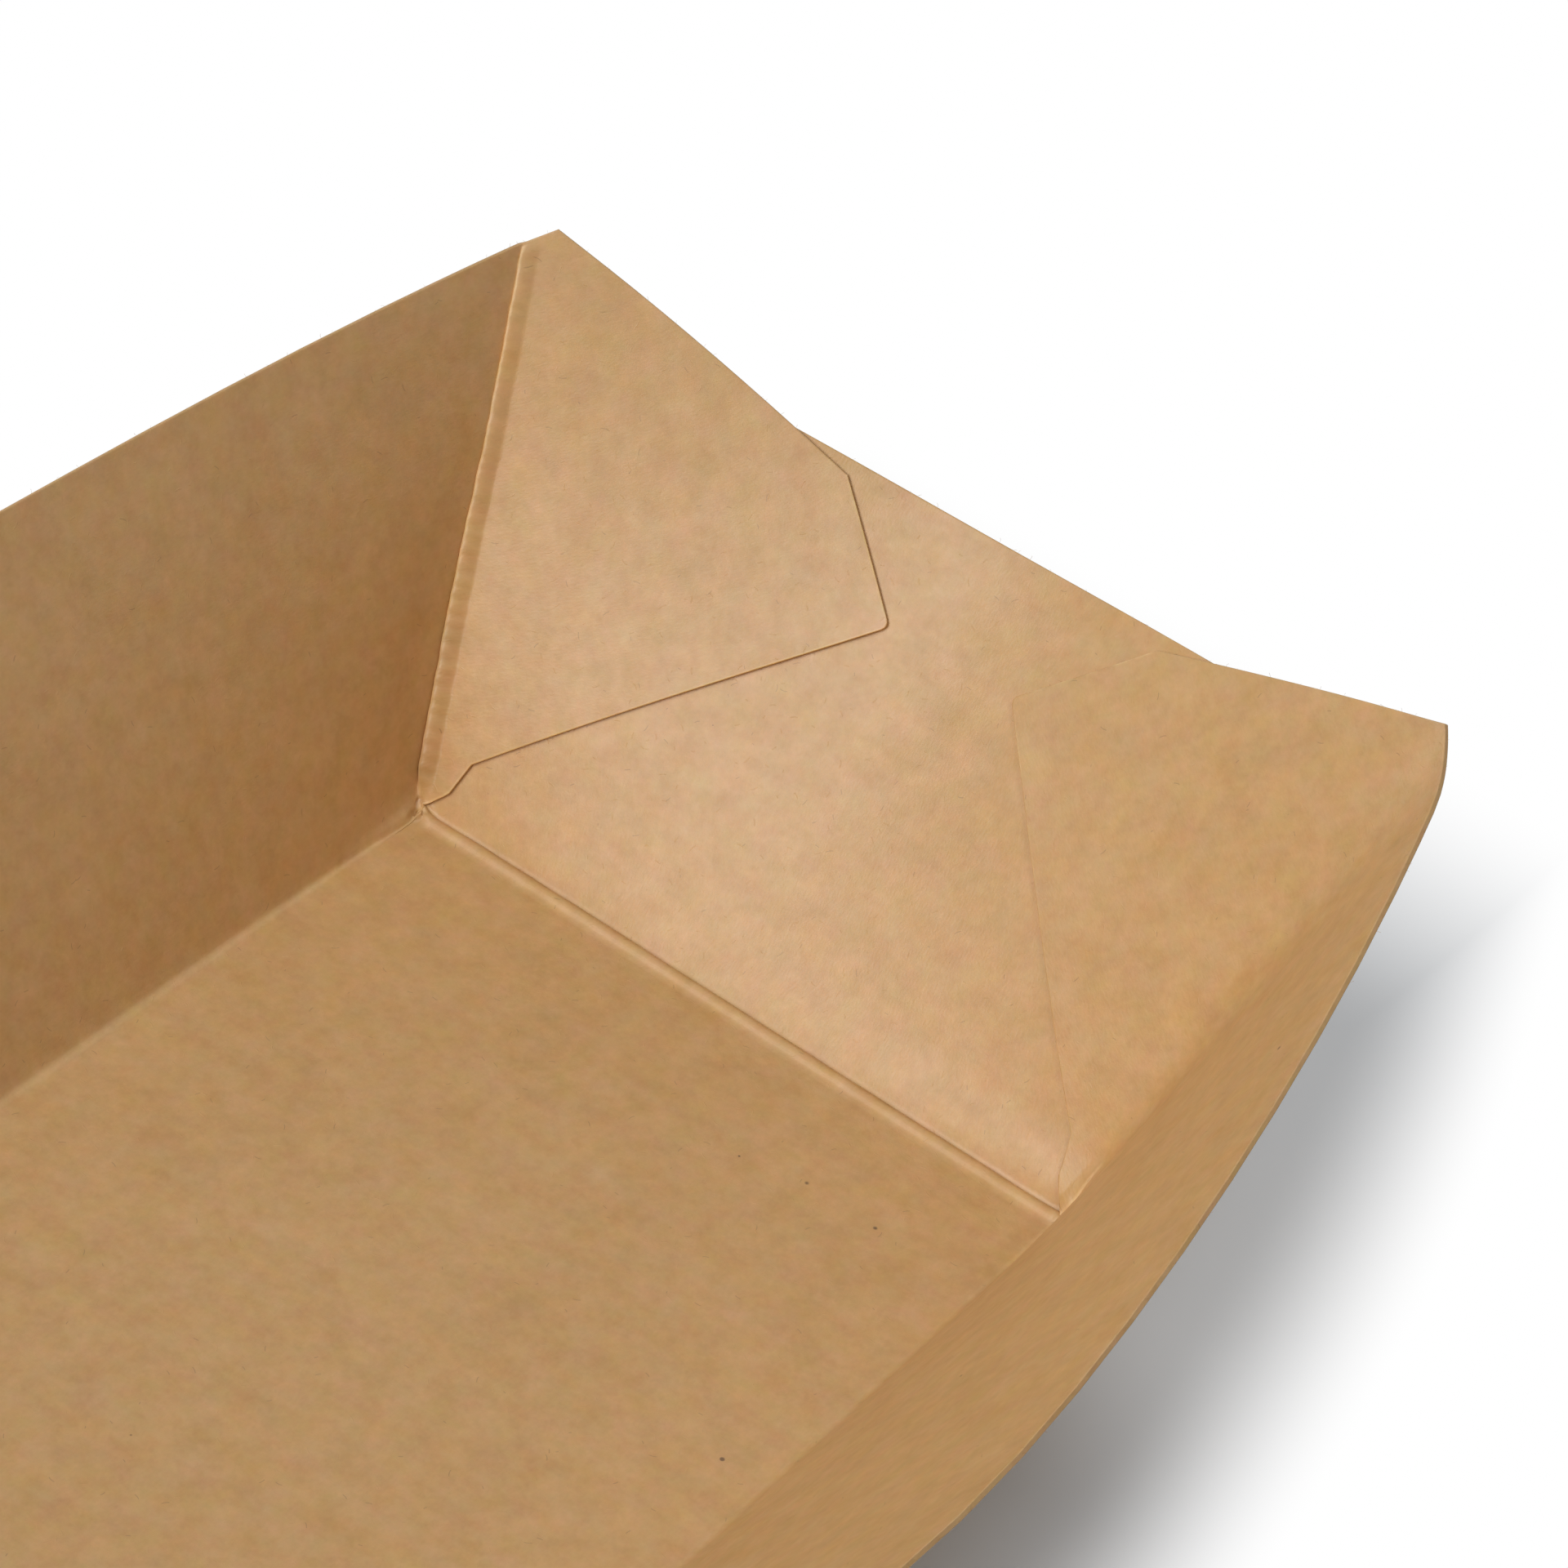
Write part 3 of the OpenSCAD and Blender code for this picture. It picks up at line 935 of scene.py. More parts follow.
class Tree:
    """A node tree under construction. A value given for a socket may be another node's output."""

    def __init__(self, tree):
        self.tree = tree

    def sockets(self, kind, *names, side="INPUT"):
        for name in names:
            self.tree.interface.new_socket(name=name, in_out=side, socket_type=kind)

    def node(self, kind, inputs=None, **settings):
        made = self.tree.nodes.new(kind)
        for key, value in settings.items():
            setattr(made, key, value)
        for key, value in (inputs or {}).items():
            self.feed(made.inputs[key], value)
        return made

    def feed(self, socket, value):
        if isinstance(value, bpy.types.NodeSocket):
            self.tree.links.new(value, socket)
        else:
            socket.default_value = value

    def maths(self, operation, *values, clamp=False):
        made = self.tree.nodes.new("ShaderNodeMath")
        made.operation, made.use_clamp = operation, clamp
        for socket, value in zip(made.inputs, values):
            self.feed(socket, value)
        return made.outputs[0]

    def vector(self, operation, *values, scale=None):
        made = self.tree.nodes.new("ShaderNodeVectorMath")
        made.operation = operation
        for socket, value in zip(made.inputs, values):
            self.feed(socket, value)
        if scale is not None:
            self.feed(made.inputs["Scale"], scale)
        return made.outputs["Value" if operation == "LENGTH" else "Vector"]

    def combine(self, x, y, z):
        return self.node("ShaderNodeCombineXYZ", {"X": x, "Y": y, "Z": z}).outputs[0]

    def noise(self, place, scale, detail=2.0, rough=0.5):
        inputs = {"Vector": place, "Scale": scale, "Detail": detail, "Roughness": rough}
        return self.node("ShaderNodeTexNoise", inputs).outputs[0]

    def blend(self, share, a, b, blend="MIX"):
        """Mixes two colours."""
        inputs = {0: share, **dict(zip(MIX_COLOURS, (a, b)))}
        made = self.node("ShaderNodeMix", inputs, data_type="RGBA", blend_type=blend)
        return made.outputs[MIXED_COLOUR]

    def ramp(self, value, low, high):
        """0 below low, 1 above high."""
        inputs = {"Value": value, "From Min": low, "From Max": high}
        return self.node("ShaderNodeMapRange", inputs, interpolation_type="SMOOTHSTEP").outputs[0]


# Ripples of a bead: scale of their noise, how far the second noise is from the first, how far an
# even wave's spacing wanders, its share, and the shares of the height's and the sideways wobble
RIPPLE_SCALE = 0.6
RIPPLE_SHIFT = (17.3, 5.1, 0.0)
RIPPLE_WANDER = 1.2
RIPPLE_EVEN = 0.1
RIPPLE_HEIGHT = 0.5
RIPPLE_SWAY = 0.5
# Seeds of neighbouring creases are this far apart
SEED_STEP = 10.0

# What is taken from the noise that pushes a corner's crumples, so that they go mostly up, and the
# least push each way
CRUSH_MIDDLE = (0.5, 0.5, 0.35)
CRUSH_LEAST = (-1.0, -1.0, 0.0)

# A stray fibre's bend in shares of its length, its tilt each way in radians, and the length of the
# shortest one as a share of the longest. Its steps along and its sides are few.
FIBRE_BEND = {"Start": (0.0, 0.0, -0.1), "Middle": (0.35, 0.0, 0.5), "End": (0.15, 0.35, 0.9)}
FIBRE_TILT = 1.1
FIBRE_SHORTEST = 0.25
FIBRE_STEPS = 4
FIBRE_SIDES = 3

GEOMETRY = "NodeSocketGeometry"
FLOAT = "NodeSocketFloat"
SHAPE_INPUTS = ("Wave Depth", "Wave Length", "Seed")
CRUSH_INPUTS = ("Reach", "Depth", "Right Share", "Grain")


def bead_group():
    """Geometry group: presses up one crease's bead, which ripples a little along its length."""
    tree = bpy.data.node_groups.new("Crease bead", "GeometryNodeTree")
    t = Tree(tree)
    t.sockets(GEOMETRY, "Geometry")
    t.sockets("NodeSocketString", "Crease")
    t.sockets(FLOAT, *BEAD_PARTS, *SHAPE_INPUTS)
    t.sockets(GEOMETRY, "Geometry", side="OUTPUT")
    given = t.node("NodeGroupInput").outputs

    def known(part, kind="FLOAT"):
        name = t.node("GeometryNodeStringJoin")
        suffix = t.node("FunctionNodeInputString", string=part)
        tree.links.new(suffix.outputs[0], name.inputs["Strings"])
        tree.links.new(given["Crease"], name.inputs["Strings"])
        found = t.node("GeometryNodeInputNamedAttribute", {"Name": name.outputs[0]}, data_type=kind)
        return found.outputs["Attribute"]

    across, along, share = known("_across"), known("_along"), known("_share")
    lift = known("_lift", "FLOAT_VECTOR")
    depth = given["Wave Depth"]
    waves = t.maths("DIVIDE", along, given["Wave Length"])
    place = t.combine(waves, 0.0, given["Seed"])
    up = t.maths("SUBTRACT", t.noise(place, RIPPLE_SCALE), 0.5)
    sideways = t.noise(t.vector("ADD", place, RIPPLE_SHIFT), RIPPLE_SCALE)
    sideways = t.maths("SUBTRACT", sideways, 0.5)
    turns = t.maths("MULTIPLY_ADD", sideways, RIPPLE_WANDER, waves)
    even = t.maths("SINE", t.maths("MULTIPLY", turns, math.tau))
    up = t.maths("MULTIPLY_ADD", even, RIPPLE_EVEN, t.maths("MULTIPLY", up, RIPPLE_HEIGHT))
    sideways = t.maths("MULTIPLY_ADD", even, RIPPLE_EVEN, sideways)
    sway = t.maths("MULTIPLY", t.maths("MULTIPLY", sideways, depth), RIPPLE_SWAY)
    # The profile is a parabola of height 1 over the bead's width, with its top skewed
    width = t.maths("SUBTRACT", given["Far"], given["Near"])
    into = t.maths("DIVIDE", t.maths("SUBTRACT", across, given["Near"]), width)
    into = t.maths("ADD", t.maths("SUBTRACT", into, sway), 0.0, clamp=True)
    bent = t.maths("POWER", into, given["Skew"])
    hump = t.maths("MULTIPLY", t.maths("MULTIPLY", bent, t.maths("SUBTRACT", 1.0, bent)), 4.0)
    profile = t.maths("MAXIMUM", hump, 0.0)
    ripple = t.maths("MULTIPLY_ADD", up, t.maths("MULTIPLY", depth, 2.0), 1.0)
    rise = t.maths("MULTIPLY", t.maths("MULTIPLY", given["Rise"], share), profile)
    offset = t.vector("SCALE", lift, scale=t.maths("MULTIPLY", rise, ripple))
    inputs = {"Geometry": given["Geometry"], "Offset": offset}
    t.node("NodeGroupOutput", {0: t.node("GeometryNodeSetPosition", inputs).outputs[0]})
    return tree


def crush_group():
    """Geometry group: crumples the board about the floor's four corners. All layers move together,
    and none goes down."""
    tree = bpy.data.node_groups.new("Corner crush", "GeometryNodeTree")
    t = Tree(tree)
    t.sockets(GEOMETRY, "Geometry")
    t.sockets("NodeSocketVector", "Corner")
    t.sockets(FLOAT, *CRUSH_INPUTS, "Seed")
    t.sockets(GEOMETRY, "Geometry", side="OUTPUT")
    given = t.node("NodeGroupInput").outputs
    place = t.node("GeometryNodeInputPosition").outputs[0]
    x = t.node("ShaderNodeSeparateXYZ", {"Vector": place}).outputs["X"]
    side = t.maths("MAXIMUM", t.maths("LESS_THAN", x, 0.0), given["Right Share"])
    off = t.vector("SUBTRACT", t.vector("ABSOLUTE", place), given["Corner"])
    near = t.ramp(t.maths("DIVIDE", t.vector("LENGTH", off), given["Reach"]), 1.0, 0.0)
    lumps = t.vector("SCALE", place, scale=t.maths("DIVIDE", 1.0, given["Grain"]))
    lumps = t.vector("ADD", lumps, t.combine(given["Seed"], 0.0, 0.0))
    push = t.node("ShaderNodeTexNoise", {"Vector": lumps, "Scale": 1.0, "Detail": 1.0})
    push = t.vector("SUBTRACT", push.outputs["Color"], CRUSH_MIDDLE)
    push = t.vector("MAXIMUM", push, CRUSH_LEAST)
    depth = t.maths("MULTIPLY", t.maths("MULTIPLY", given["Depth"], 2.0), near)
    offset = t.vector("SCALE", push, scale=t.maths("MULTIPLY", depth, side))
    inputs = {"Geometry": given["Geometry"], "Offset": offset}
    t.node("NodeGroupOutput", {0: t.node("GeometryNodeSetPosition", inputs).outputs[0]})
    return tree


def on_surface(t, kind):
    """Selects the faces of one kind of surface."""
    surface = t.node("GeometryNodeInputNamedAttribute", {"Name": SURFACE}, data_type="INT")
    inputs = dict(zip(COMPARED, (surface.outputs["Attribute"], kind)))
    return t.node("FunctionNodeCompare", inputs, data_type="INT", operation="EQUAL").outputs[0]


def press_tree():
    """Geometry tree: presses up the beads of all creases, crumples the floor's corners and gives
    each surface its finish."""
    bead, crush = bead_group(), crush_group()
    tree = bpy.data.node_groups.new("Press creases", "GeometryNodeTree")
    t = Tree(tree)
    t.sockets(GEOMETRY, "Geometry")
    t.sockets(FLOAT, *[f"{crease.title()} {part}" for crease in CREASES for part in BEAD_PARTS])
    t.sockets(FLOAT, *SHAPE_INPUTS, *CRUSH_INPUTS)
    t.sockets("NodeSocketVector", "Corner")
    t.sockets("NodeSocketMaterial", "Face", "Reverse", "Cut Edge")
    t.sockets(GEOMETRY, "Geometry", side="OUTPUT")
    given = t.node("NodeGroupInput").outputs
    flow = given["Geometry"]
    for number, crease in enumerate(CREASES):
        inputs = {part: given[f"{crease.title()} {part}"] for part in BEAD_PARTS}
        inputs |= {name: given[name] for name in SHAPE_INPUTS}
        inputs |= {"Geometry": flow, "Crease": crease}
        inputs["Seed"] = t.maths("ADD", given["Seed"], SEED_STEP * number)
        flow = t.node("GeometryNodeGroup", inputs, node_tree=bead).outputs[0]
    inputs = {name: given[name] for name in (*CRUSH_INPUTS, "Seed", "Corner")}
    inputs["Geometry"] = flow
    flow = t.node("GeometryNodeGroup", inputs, node_tree=crush).outputs[0]
    flow = t.node("GeometryNodeRealizeInstances", {"Geometry": flow}).outputs[0]
    for name, kind in (("Face", FACE), ("Reverse", REVERSE), ("Cut Edge", CUT)):
        inputs = {"Geometry": flow, "Selection": on_surface(t, kind), "Material": given[name]}
        flow = t.node("GeometryNodeSetMaterial", inputs).outputs[0]
    t.node("NodeGroupOutput", {0: flow})
    return tree


def fibre_tree():
    """Geometry tree: short bent fibres that stand out of the cut edges."""
    tree = bpy.data.node_groups.new("Edge fibres", "GeometryNodeTree")
    t = Tree(tree)
    t.sockets(GEOMETRY, "Geometry")
    t.sockets(FLOAT, "Density", "Length", "Radius")
    t.sockets("NodeSocketInt", "Seed")
    t.sockets("NodeSocketMaterial", "Finish")
    t.sockets(GEOMETRY, "Geometry", side="OUTPUT")
    given = t.node("NodeGroupInput").outputs
    inputs = {"Mesh": given["Geometry"], "Selection": on_surface(t, CUT)}
    inputs |= {"Density": given["Density"], "Seed": given["Seed"]}
    spread = t.node("GeometryNodeDistributePointsOnFaces", inputs, distribute_method="RANDOM")
    bend = {name: t.vector("SCALE", way, scale=given["Length"]) for name, way in FIBRE_BEND.items()}
    bent = t.node("GeometryNodeCurveQuadraticBezier", bend | {"Resolution": FIBRE_STEPS})
    inputs = {"Resolution": FIBRE_SIDES, "Radius": given["Radius"]}
    ring = t.node("GeometryNodeCurvePrimitiveCircle", inputs)
    inputs = {"Curve": bent.outputs[0], "Profile Curve": ring.outputs[0], "Fill Caps": True}
    thread = t.node("GeometryNodeCurveToMesh", inputs)
    inputs = {"Min": (-FIBRE_TILT, -FIBRE_TILT, 0.0), "Max": (FIBRE_TILT, FIBRE_TILT, math.tau)}
    tilt = t.node("FunctionNodeRandomValue", inputs, data_type="FLOAT_VECTOR")
    inputs = {"Rotation": spread.outputs["Rotation"], "Rotate By": tilt.outputs[0]}
    turned = t.node("FunctionNodeRotateRotation", inputs, rotation_space="LOCAL")
    inputs = dict(zip(RANDOM_RANGE, (FIBRE_SHORTEST, 1.0)))
    grown = t.node("FunctionNodeRandomValue", inputs, data_type="FLOAT")
    inputs = {"Points": spread.outputs["Points"], "Instance": thread.outputs[0]}
    inputs |= {"Rotation": turned.outputs[0], "Scale": grown.outputs[RANDOM_RESULT]}
    placed = t.node("GeometryNodeInstanceOnPoints", inputs)
    real = t.node("GeometryNodeRealizeInstances", {"Geometry": placed.outputs[0]})
    inputs = {"Geometry": real.outputs[0], "Material": given["Finish"]}
    t.node("NodeGroupOutput", {0: t.node("GeometryNodeSetMaterial", inputs).outputs[0]})
    return tree


def new_object(name, data):
    made = bpy.data.objects.new(name, data)
    bpy.context.collection.objects.link(made)
    return made


def grown_mesh(thing, tree, values):
    """Runs a geometry tree on an object and returns the result as a plain mesh."""
    modifier = thing.modifiers.new(tree.name, "NODES")
    modifier.node_group = tree
    sockets = {s.name: s for s in tree.interface.items_tree if s.in_out == "INPUT"}
    for name, value in values.items():
        modifier[sockets[name].identifier] = value
    bpy.context.view_layer.update()
    graph = bpy.context.evaluated_depsgraph_get()
    mesh = bpy.data.meshes.new_from_object(
        thing.evaluated_get(graph), preserve_all_data_layers=True, depsgraph=graph
    )
    thing.modifiers.remove(modifier)
    if mesh.materials[0] is None:
        mesh.materials.pop(index=0)
    if not mesh.polygons:
        raise RuntimeError(f"{tree.name} made no faces")
    return mesh


# Finishes


# Clouds in the pulp, from a thumb's width down to flocks of fibre: shift in millimetres, waves to the
# millimetre, detail, roughness and weight
CLOUDS = (
    ((3, 8, 0), 0.06, 2.0, 0.5, 0.35),
    ((52, 19, 0), 0.17, 2.0, 0.5, 0.6),
    ((31, 4, 0), 0.36, 3.0, 0.6, 1.3),
    ((9, 57, 0), 1.0, 2.0, 0.6, 0.75),
)
# Fine fibres lie mostly along the web, a few across it: turn in radians, squeeze, waves to the
# millimetre. Then their detail and their share of the tone.
STREAKS = ((0.3, 0.4, 4.6), (-0.5, 0.45, 4.0), (1.4, 0.5, 4.3))
STREAK_DETAIL = 1.0
STREAK_TONE = 0.22
# Bark specks: shift, cells to the millimetre and share of cells with a speck, then the least radius
# in millimetres, how much larger the largest is, how rare large ones are, and their soft edge in
# shares of the radius
SPECK_SHIFT = (5, 5, 0)
SPECK_CELLS = 0.17
SPECK_SHARE = 0.65
SPECK_RADIUS = 0.05
SPECK_GROWTH = 0.2
SPECK_RARITY = 4.0
SPECK_EDGE = (1.3, 0.7)
# Dark fibres: cells to the millimetre of two sorts that are seen and one that is only felt, shift
# across from sort to sort and along, share of cells with a fibre, bend, soft edge and half length
# with its spread in millimetres, soft ends in shares of that, and strength
THREAD_CELLS = (0.16, 0.22, 0.5)
THREAD_SHIFT = (41, 23)
THREAD_SHARE = 0.4
THREAD_BEND = 0.5
THREAD_EDGE = (0.055, 0.015)
THREAD_HALF = 0.12
THREAD_SPREAD = 0.25
THREAD_END = (1.1, 0.8)
THREAD_DEPTH = 0.4
# Faint pink against green, and yellow against grey, in flocks of a few millimetres: shift, waves to
# the millimetre, detail and roughness, then what they do to red, green and blue
PINK = ((70, 12, 0), 0.36, 3.0, 0.7)
GREY = ((15, 93, 0), 0.30, 3.0, 0.7)
PINK_RED, PINK_GREEN, GREY_BLUE = 0.19, -0.15, 0.6
# How clouds and fibres change the roughness, and what the relief is made of
CLOUD_ROUGH, GRAIN_ROUGH = -0.05, 0.05
GRAIN_RELIEF, FINE_RELIEF, THREAD_RELIEF = 0.5, 0.5, 0.6
FINE_SCALE = 6.0


def pulp_group():
    """Shader group: cloudy pulp with fine fibres, bark specks and dark fibres, in millimetres."""
    tree = bpy.data.node_groups.new("Kraft pulp", "ShaderNodeTree")
    t = Tree(tree)
    t.sockets("NodeSocketVector", "Place")
    t.sockets("NodeSocketColor", "Pale", "Deep", "Fleck")
    t.sockets(FLOAT, "Cloud", "Tint", "Grain", "Flecks", "Worn", "Worn Depth", "Rough")
    t.sockets("NodeSocketColor", "Colour", side="OUTPUT")
    t.sockets(FLOAT, "Roughness", "Height", side="OUTPUT")
    given = t.node("NodeGroupInput").outputs
    place = given["Place"]

    def cloudy(shift, scale, detail, rough, weight):
        noise = t.noise(t.vector("ADD", place, shift), scale, detail, rough)
        return t.maths("MULTIPLY", t.maths("SUBTRACT", noise, 0.5), weight)

    def chances(cells):
        return t.node("ShaderNodeSeparateColor", {"Color": cells.outputs["Color"]}).outputs

    clouds = [cloudy(*cloud) for cloud in CLOUDS]
    cloud = t.maths("ADD", t.maths("ADD", clouds[0], clouds[1]), t.maths("ADD", clouds[2], clouds[3]))

    streaks = []
    for angle, squeeze, scale in STREAKS:
        inputs = {"Vector": place, "Rotation": (0.0, 0.0, angle), "Scale": (1.0, squeeze, 1.0)}
        noise = t.noise(t.node("ShaderNodeMapping", inputs).outputs[0], scale, STREAK_DETAIL)
        streaks.append(t.maths("SUBTRACT", noise, 0.5))
    grain = t.maths("ADD", t.maths("ADD", streaks[0], streaks[1]), streaks[2])

    inputs = {"Vector": t.vector("ADD", place, SPECK_SHIFT), "Scale": SPECK_CELLS}
    cells = t.node("ShaderNodeTexVoronoi", inputs)
    chance = chances(cells)
    size = t.maths("POWER", chance[1], SPECK_RARITY)
    radius = t.maths("MULTIPLY_ADD", size, SPECK_GROWTH, SPECK_RADIUS)
    from_speck = t.maths("DIVIDE", cells.outputs["Distance"], SPECK_CELLS)
    speck = t.ramp(t.maths("DIVIDE", from_speck, radius), *SPECK_EDGE)
    speck = t.maths("MULTIPLY", speck, t.maths("LESS_THAN", chance[0], SPECK_SHARE))

    threads = []
    for number, scale in enumerate(THREAD_CELLS):
        moved = t.vector("ADD", place, (THREAD_SHIFT[0] * number, THREAD_SHIFT[1], 0))
        web = t.node("ShaderNodeTexVoronoi", {"Vector": moved, "Scale": scale})
        odds = chances(web)
        local = t.vector("SUBTRACT", moved, web.outputs["Position"])
        inputs = {"Vector": local, "Angle": t.maths("MULTIPLY", odds[1], math.tau)}
        turned = t.node("ShaderNodeVectorRotate", inputs, rotation_type="Z_AXIS")
        part = t.node("ShaderNodeSeparateXYZ", {"Vector": turned.outputs[0]}).outputs
        bend = t.maths("MULTIPLY", t.maths("MULTIPLY", part[0], part[0]), THREAD_BEND)
        body = t.ramp(t.maths("ABSOLUTE", t.maths("SUBTRACT", part[1], bend)), *THREAD_EDGE)
        reach = t.maths("MULTIPLY_ADD", odds[2], THREAD_SPREAD, THREAD_HALF)
        ends = t.ramp(t.maths("DIVIDE", t.maths("ABSOLUTE", part[0]), reach), *THREAD_END)
        there = t.maths("LESS_THAN", odds[0], THREAD_SHARE)
        threads.append(t.maths("MULTIPLY", t.maths("MULTIPLY", body, ends), there))
    thread = t.maths("MULTIPLY", t.maths("MAXIMUM", threads[0], threads[1]), THREAD_DEPTH)
    fleck = t.maths("MULTIPLY", t.maths("MAXIMUM", speck, thread), given["Flecks"], clamp=True)

    tone = t.maths("MULTIPLY_ADD", cloud, given["Cloud"], 0.5)
    tone = t.maths("MULTIPLY_ADD", grain, t.maths("MULTIPLY", given["Grain"], STREAK_TONE), tone)
    colour = t.blend(t.maths("ADD", tone, 0.0, clamp=True), given["Deep"], given["Pale"])
    pink, grey = cloudy(*PINK, given["Tint"]), cloudy(*GREY, given["Tint"])
    tints = ((pink, PINK_RED), (pink, PINK_GREEN), (grey, GREY_BLUE))
    tints = [t.maths("MULTIPLY_ADD", tint, gain, 1.0) for tint, gain in tints]
    colour = t.blend(1.0, colour, t.combine(*tints), "MULTIPLY")
    # Paler with wear and a painted highlight, darker where shade is painted into the grooves
    worn = t.maths("MULTIPLY", given["Worn"], given["Worn Depth"])
    gains = [t.maths("MULTIPLY_ADD", worn, gain, 1.0) for gain in WEAR_AND_PAINTED_LIGHT_GAINS]
    colour = t.blend(1.0, colour, t.combine(*gains), "MULTIPLY")
    colour = t.blend(fleck, colour, given["Fleck"])
    rough = t.maths("MULTIPLY_ADD", cloud, CLOUD_ROUGH, given["Rough"])
    rough = t.maths("MULTIPLY_ADD", grain, GRAIN_ROUGH, rough)
    height = t.maths("MULTIPLY_ADD", grain, GRAIN_RELIEF, 0.5)
    height = t.maths("MULTIPLY_ADD", t.noise(place, FINE_SCALE), FINE_RELIEF, height)
    height = t.maths("MULTIPLY_ADD", threads[2], THREAD_RELIEF, height)
    t.node("NodeGroupOutput", {"Colour": colour, "Roughness": rough, "Height": height})
    return tree


# Each surface's material, its share of the pulp's colours, its added roughness and its relief in
# millimetres
SURFACES = {
    "Face": ("kraft_face", 1.0, 0.0, 0.016),
    "Reverse": ("kraft_reverse", 0.97, 0.08, 0.016),
    "Cut Edge": ("kraft_cut_edge", 0.95, 0.25, 0.03),
}
FIBRE_SURFACE = ("kraft_fibre", 1.0, 0.3, 0.016)


def kraft(name, tone, rough, relief, finish, from_blank=True):
    """A kraft surface. Its pattern lies on the flat blank, or in space on cut edges and fibres."""
    material = bpy.data.materials.new(name)
    material.use_nodes = True
    tree = material.node_tree
    tree.nodes.clear()
    t = Tree(tree)
    if from_blank:
        place = t.node("ShaderNodeUVMap", uv_map=BLANK_UV).outputs[0]
        stretch = MM_PER_BLANK_UNIT
    else:
        place = t.node("ShaderNodeTexCoord").outputs["Object"]
        stretch = 1 / MM
    mapping = t.node("ShaderNodeMapping", {"Vector": place, "Scale": (stretch,) * 3})
    inputs = {
        "Place": mapping.outputs[0],
        "Cloud": finish.cloud_depth,
        "Tint": finish.tint_depth,
        "Grain": finish.grain_depth,
        "Flecks": finish.fleck_depth,
        "Worn Depth": finish.wear_and_painted_light_depth,
        "Rough": finish.roughness + rough,
    }
    for socket, colour in (("Pale", finish.pale), ("Deep", finish.deep), ("Fleck", finish.fleck)):
        inputs[socket] = (*[c * tone for c in colour], 1.0)
    if from_blank:
        # Wear, painted highlight and painted shade, from the mesh
        inputs["Worn"] = t.node("ShaderNodeAttribute", attribute_name=WEAR_AND_PAINTED_LIGHT).outputs["Fac"]
    pulp = bpy.data.node_groups.get("Kraft pulp") or pulp_group()
    look = t.node("ShaderNodeGroup", inputs, node_tree=pulp).outputs
    inputs = {"Strength": 1.0, "Distance": relief * MM, "Height": look["Height"]}
    inputs = {"Normal": t.node("ShaderNodeBump", inputs).outputs[0]}
    inputs |= {"Base Color": look["Colour"], "Roughness": look["Roughness"]}
    shader = t.node("ShaderNodeBsdfPrincipled", inputs)
    t.node("ShaderNodeOutputMaterial", {"Surface": shader.outputs[0]})
    return material


def seen_share(t):
    """1 for rays that come from the camera or a glossy or clear surface, 0 for others."""
    path = t.node("ShaderNodeLightPath").outputs
    seen = t.maths("MAXIMUM", path["Is Camera Ray"], path["Is Glossy Ray"])
    return t.maths("MAXIMUM", seen, path["Is Transmission Ray"])


def rim_half_width(tray, slope, lean):
    """How far the side walls' rim is from the tray's middle line."""
    return tray.base_width / 2 + slope * math.sin(lean)


# The floor reaches this far each way. Light that isn't seen finds it this grey, and the picture
# shows it with this faint cool tint.
FLOOR_REACH = 4.0
FLOOR_GREY = 0.75
FLOOR_TINT = (0.96, 1.03, 1.10)
WHITE = (1.0, 1.0, 1.0, 1.0)


def floor_material(studio, tray):
    """Pale matt floor. The picture shows the tray's shadow on it, which fades to plain white, and
    other light finds it a plain pale grey."""
    material = bpy.data.materials.new("floor_paper")
    material.use_nodes = True
    tree = material.node_tree
    tree.nodes.clear()
    t = Tree(tree)
    lit = t.node("ShaderNodeBsdfDiffuse", {"Color": (FLOOR_GREY, FLOOR_GREY, FLOOR_GREY, 1.0)})
    cool_white = (*[studio.floor_white * c for c in FLOOR_TINT], 1.0)
    shown = t.node("ShaderNodeBsdfDiffuse", {"Color": cool_white})
    plain = t.node("ShaderNodeEmission", {"Color": WHITE, "Strength": 1.0})
    place = t.vector("ABSOLUTE", t.node("ShaderNodeTexCoord").outputs["Object"])
    place = t.node("ShaderNodeSeparateXYZ", {"Vector": place}).outputs
    middle = rim_half_width(tray, tray.side_slope_middle, tray.side_lean_middle)
    corner = rim_half_width(tray, tray.side_slope_corner, tray.side_lean_corner)
    end = CAD_BOX[1][1]
    along = t.maths("DIVIDE", place["Y"], end)
    rim = t.maths("MULTIPLY_ADD", t.maths("MULTIPLY", along, along), corner - middle, middle)
    beside = t.ramp(t.maths("SUBTRACT", place["X"], rim), *SIDE_FADE)
    behind = t.ramp(t.maths("SUBTRACT", place["Y"], end), *END_FADE)
    away = t.maths("MAXIMUM", beside, behind)
    # Painted light: towards the tray's ends the floor's shadow is mixed towards plain white
    paler = t.maths("MULTIPLY", t.ramp(place["Y"], *PAINTED_LIGHT_FROM), PAINTED_LIGHT_SHARE)
    away = t.maths("MULTIPLY_ADD", paler, t.maths("SUBTRACT", 1.0, away), away)
    fading = t.node("ShaderNodeMixShader", {0: away, 1: shown.outputs[0], 2: plain.outputs[0]})
    both = t.node("ShaderNodeMixShader", {0: seen_share(t), 1: lit.outputs[0], 2: fading.outputs[0]})
    t.node("ShaderNodeOutputMaterial", {"Surface": both.outputs[0]})
    return material


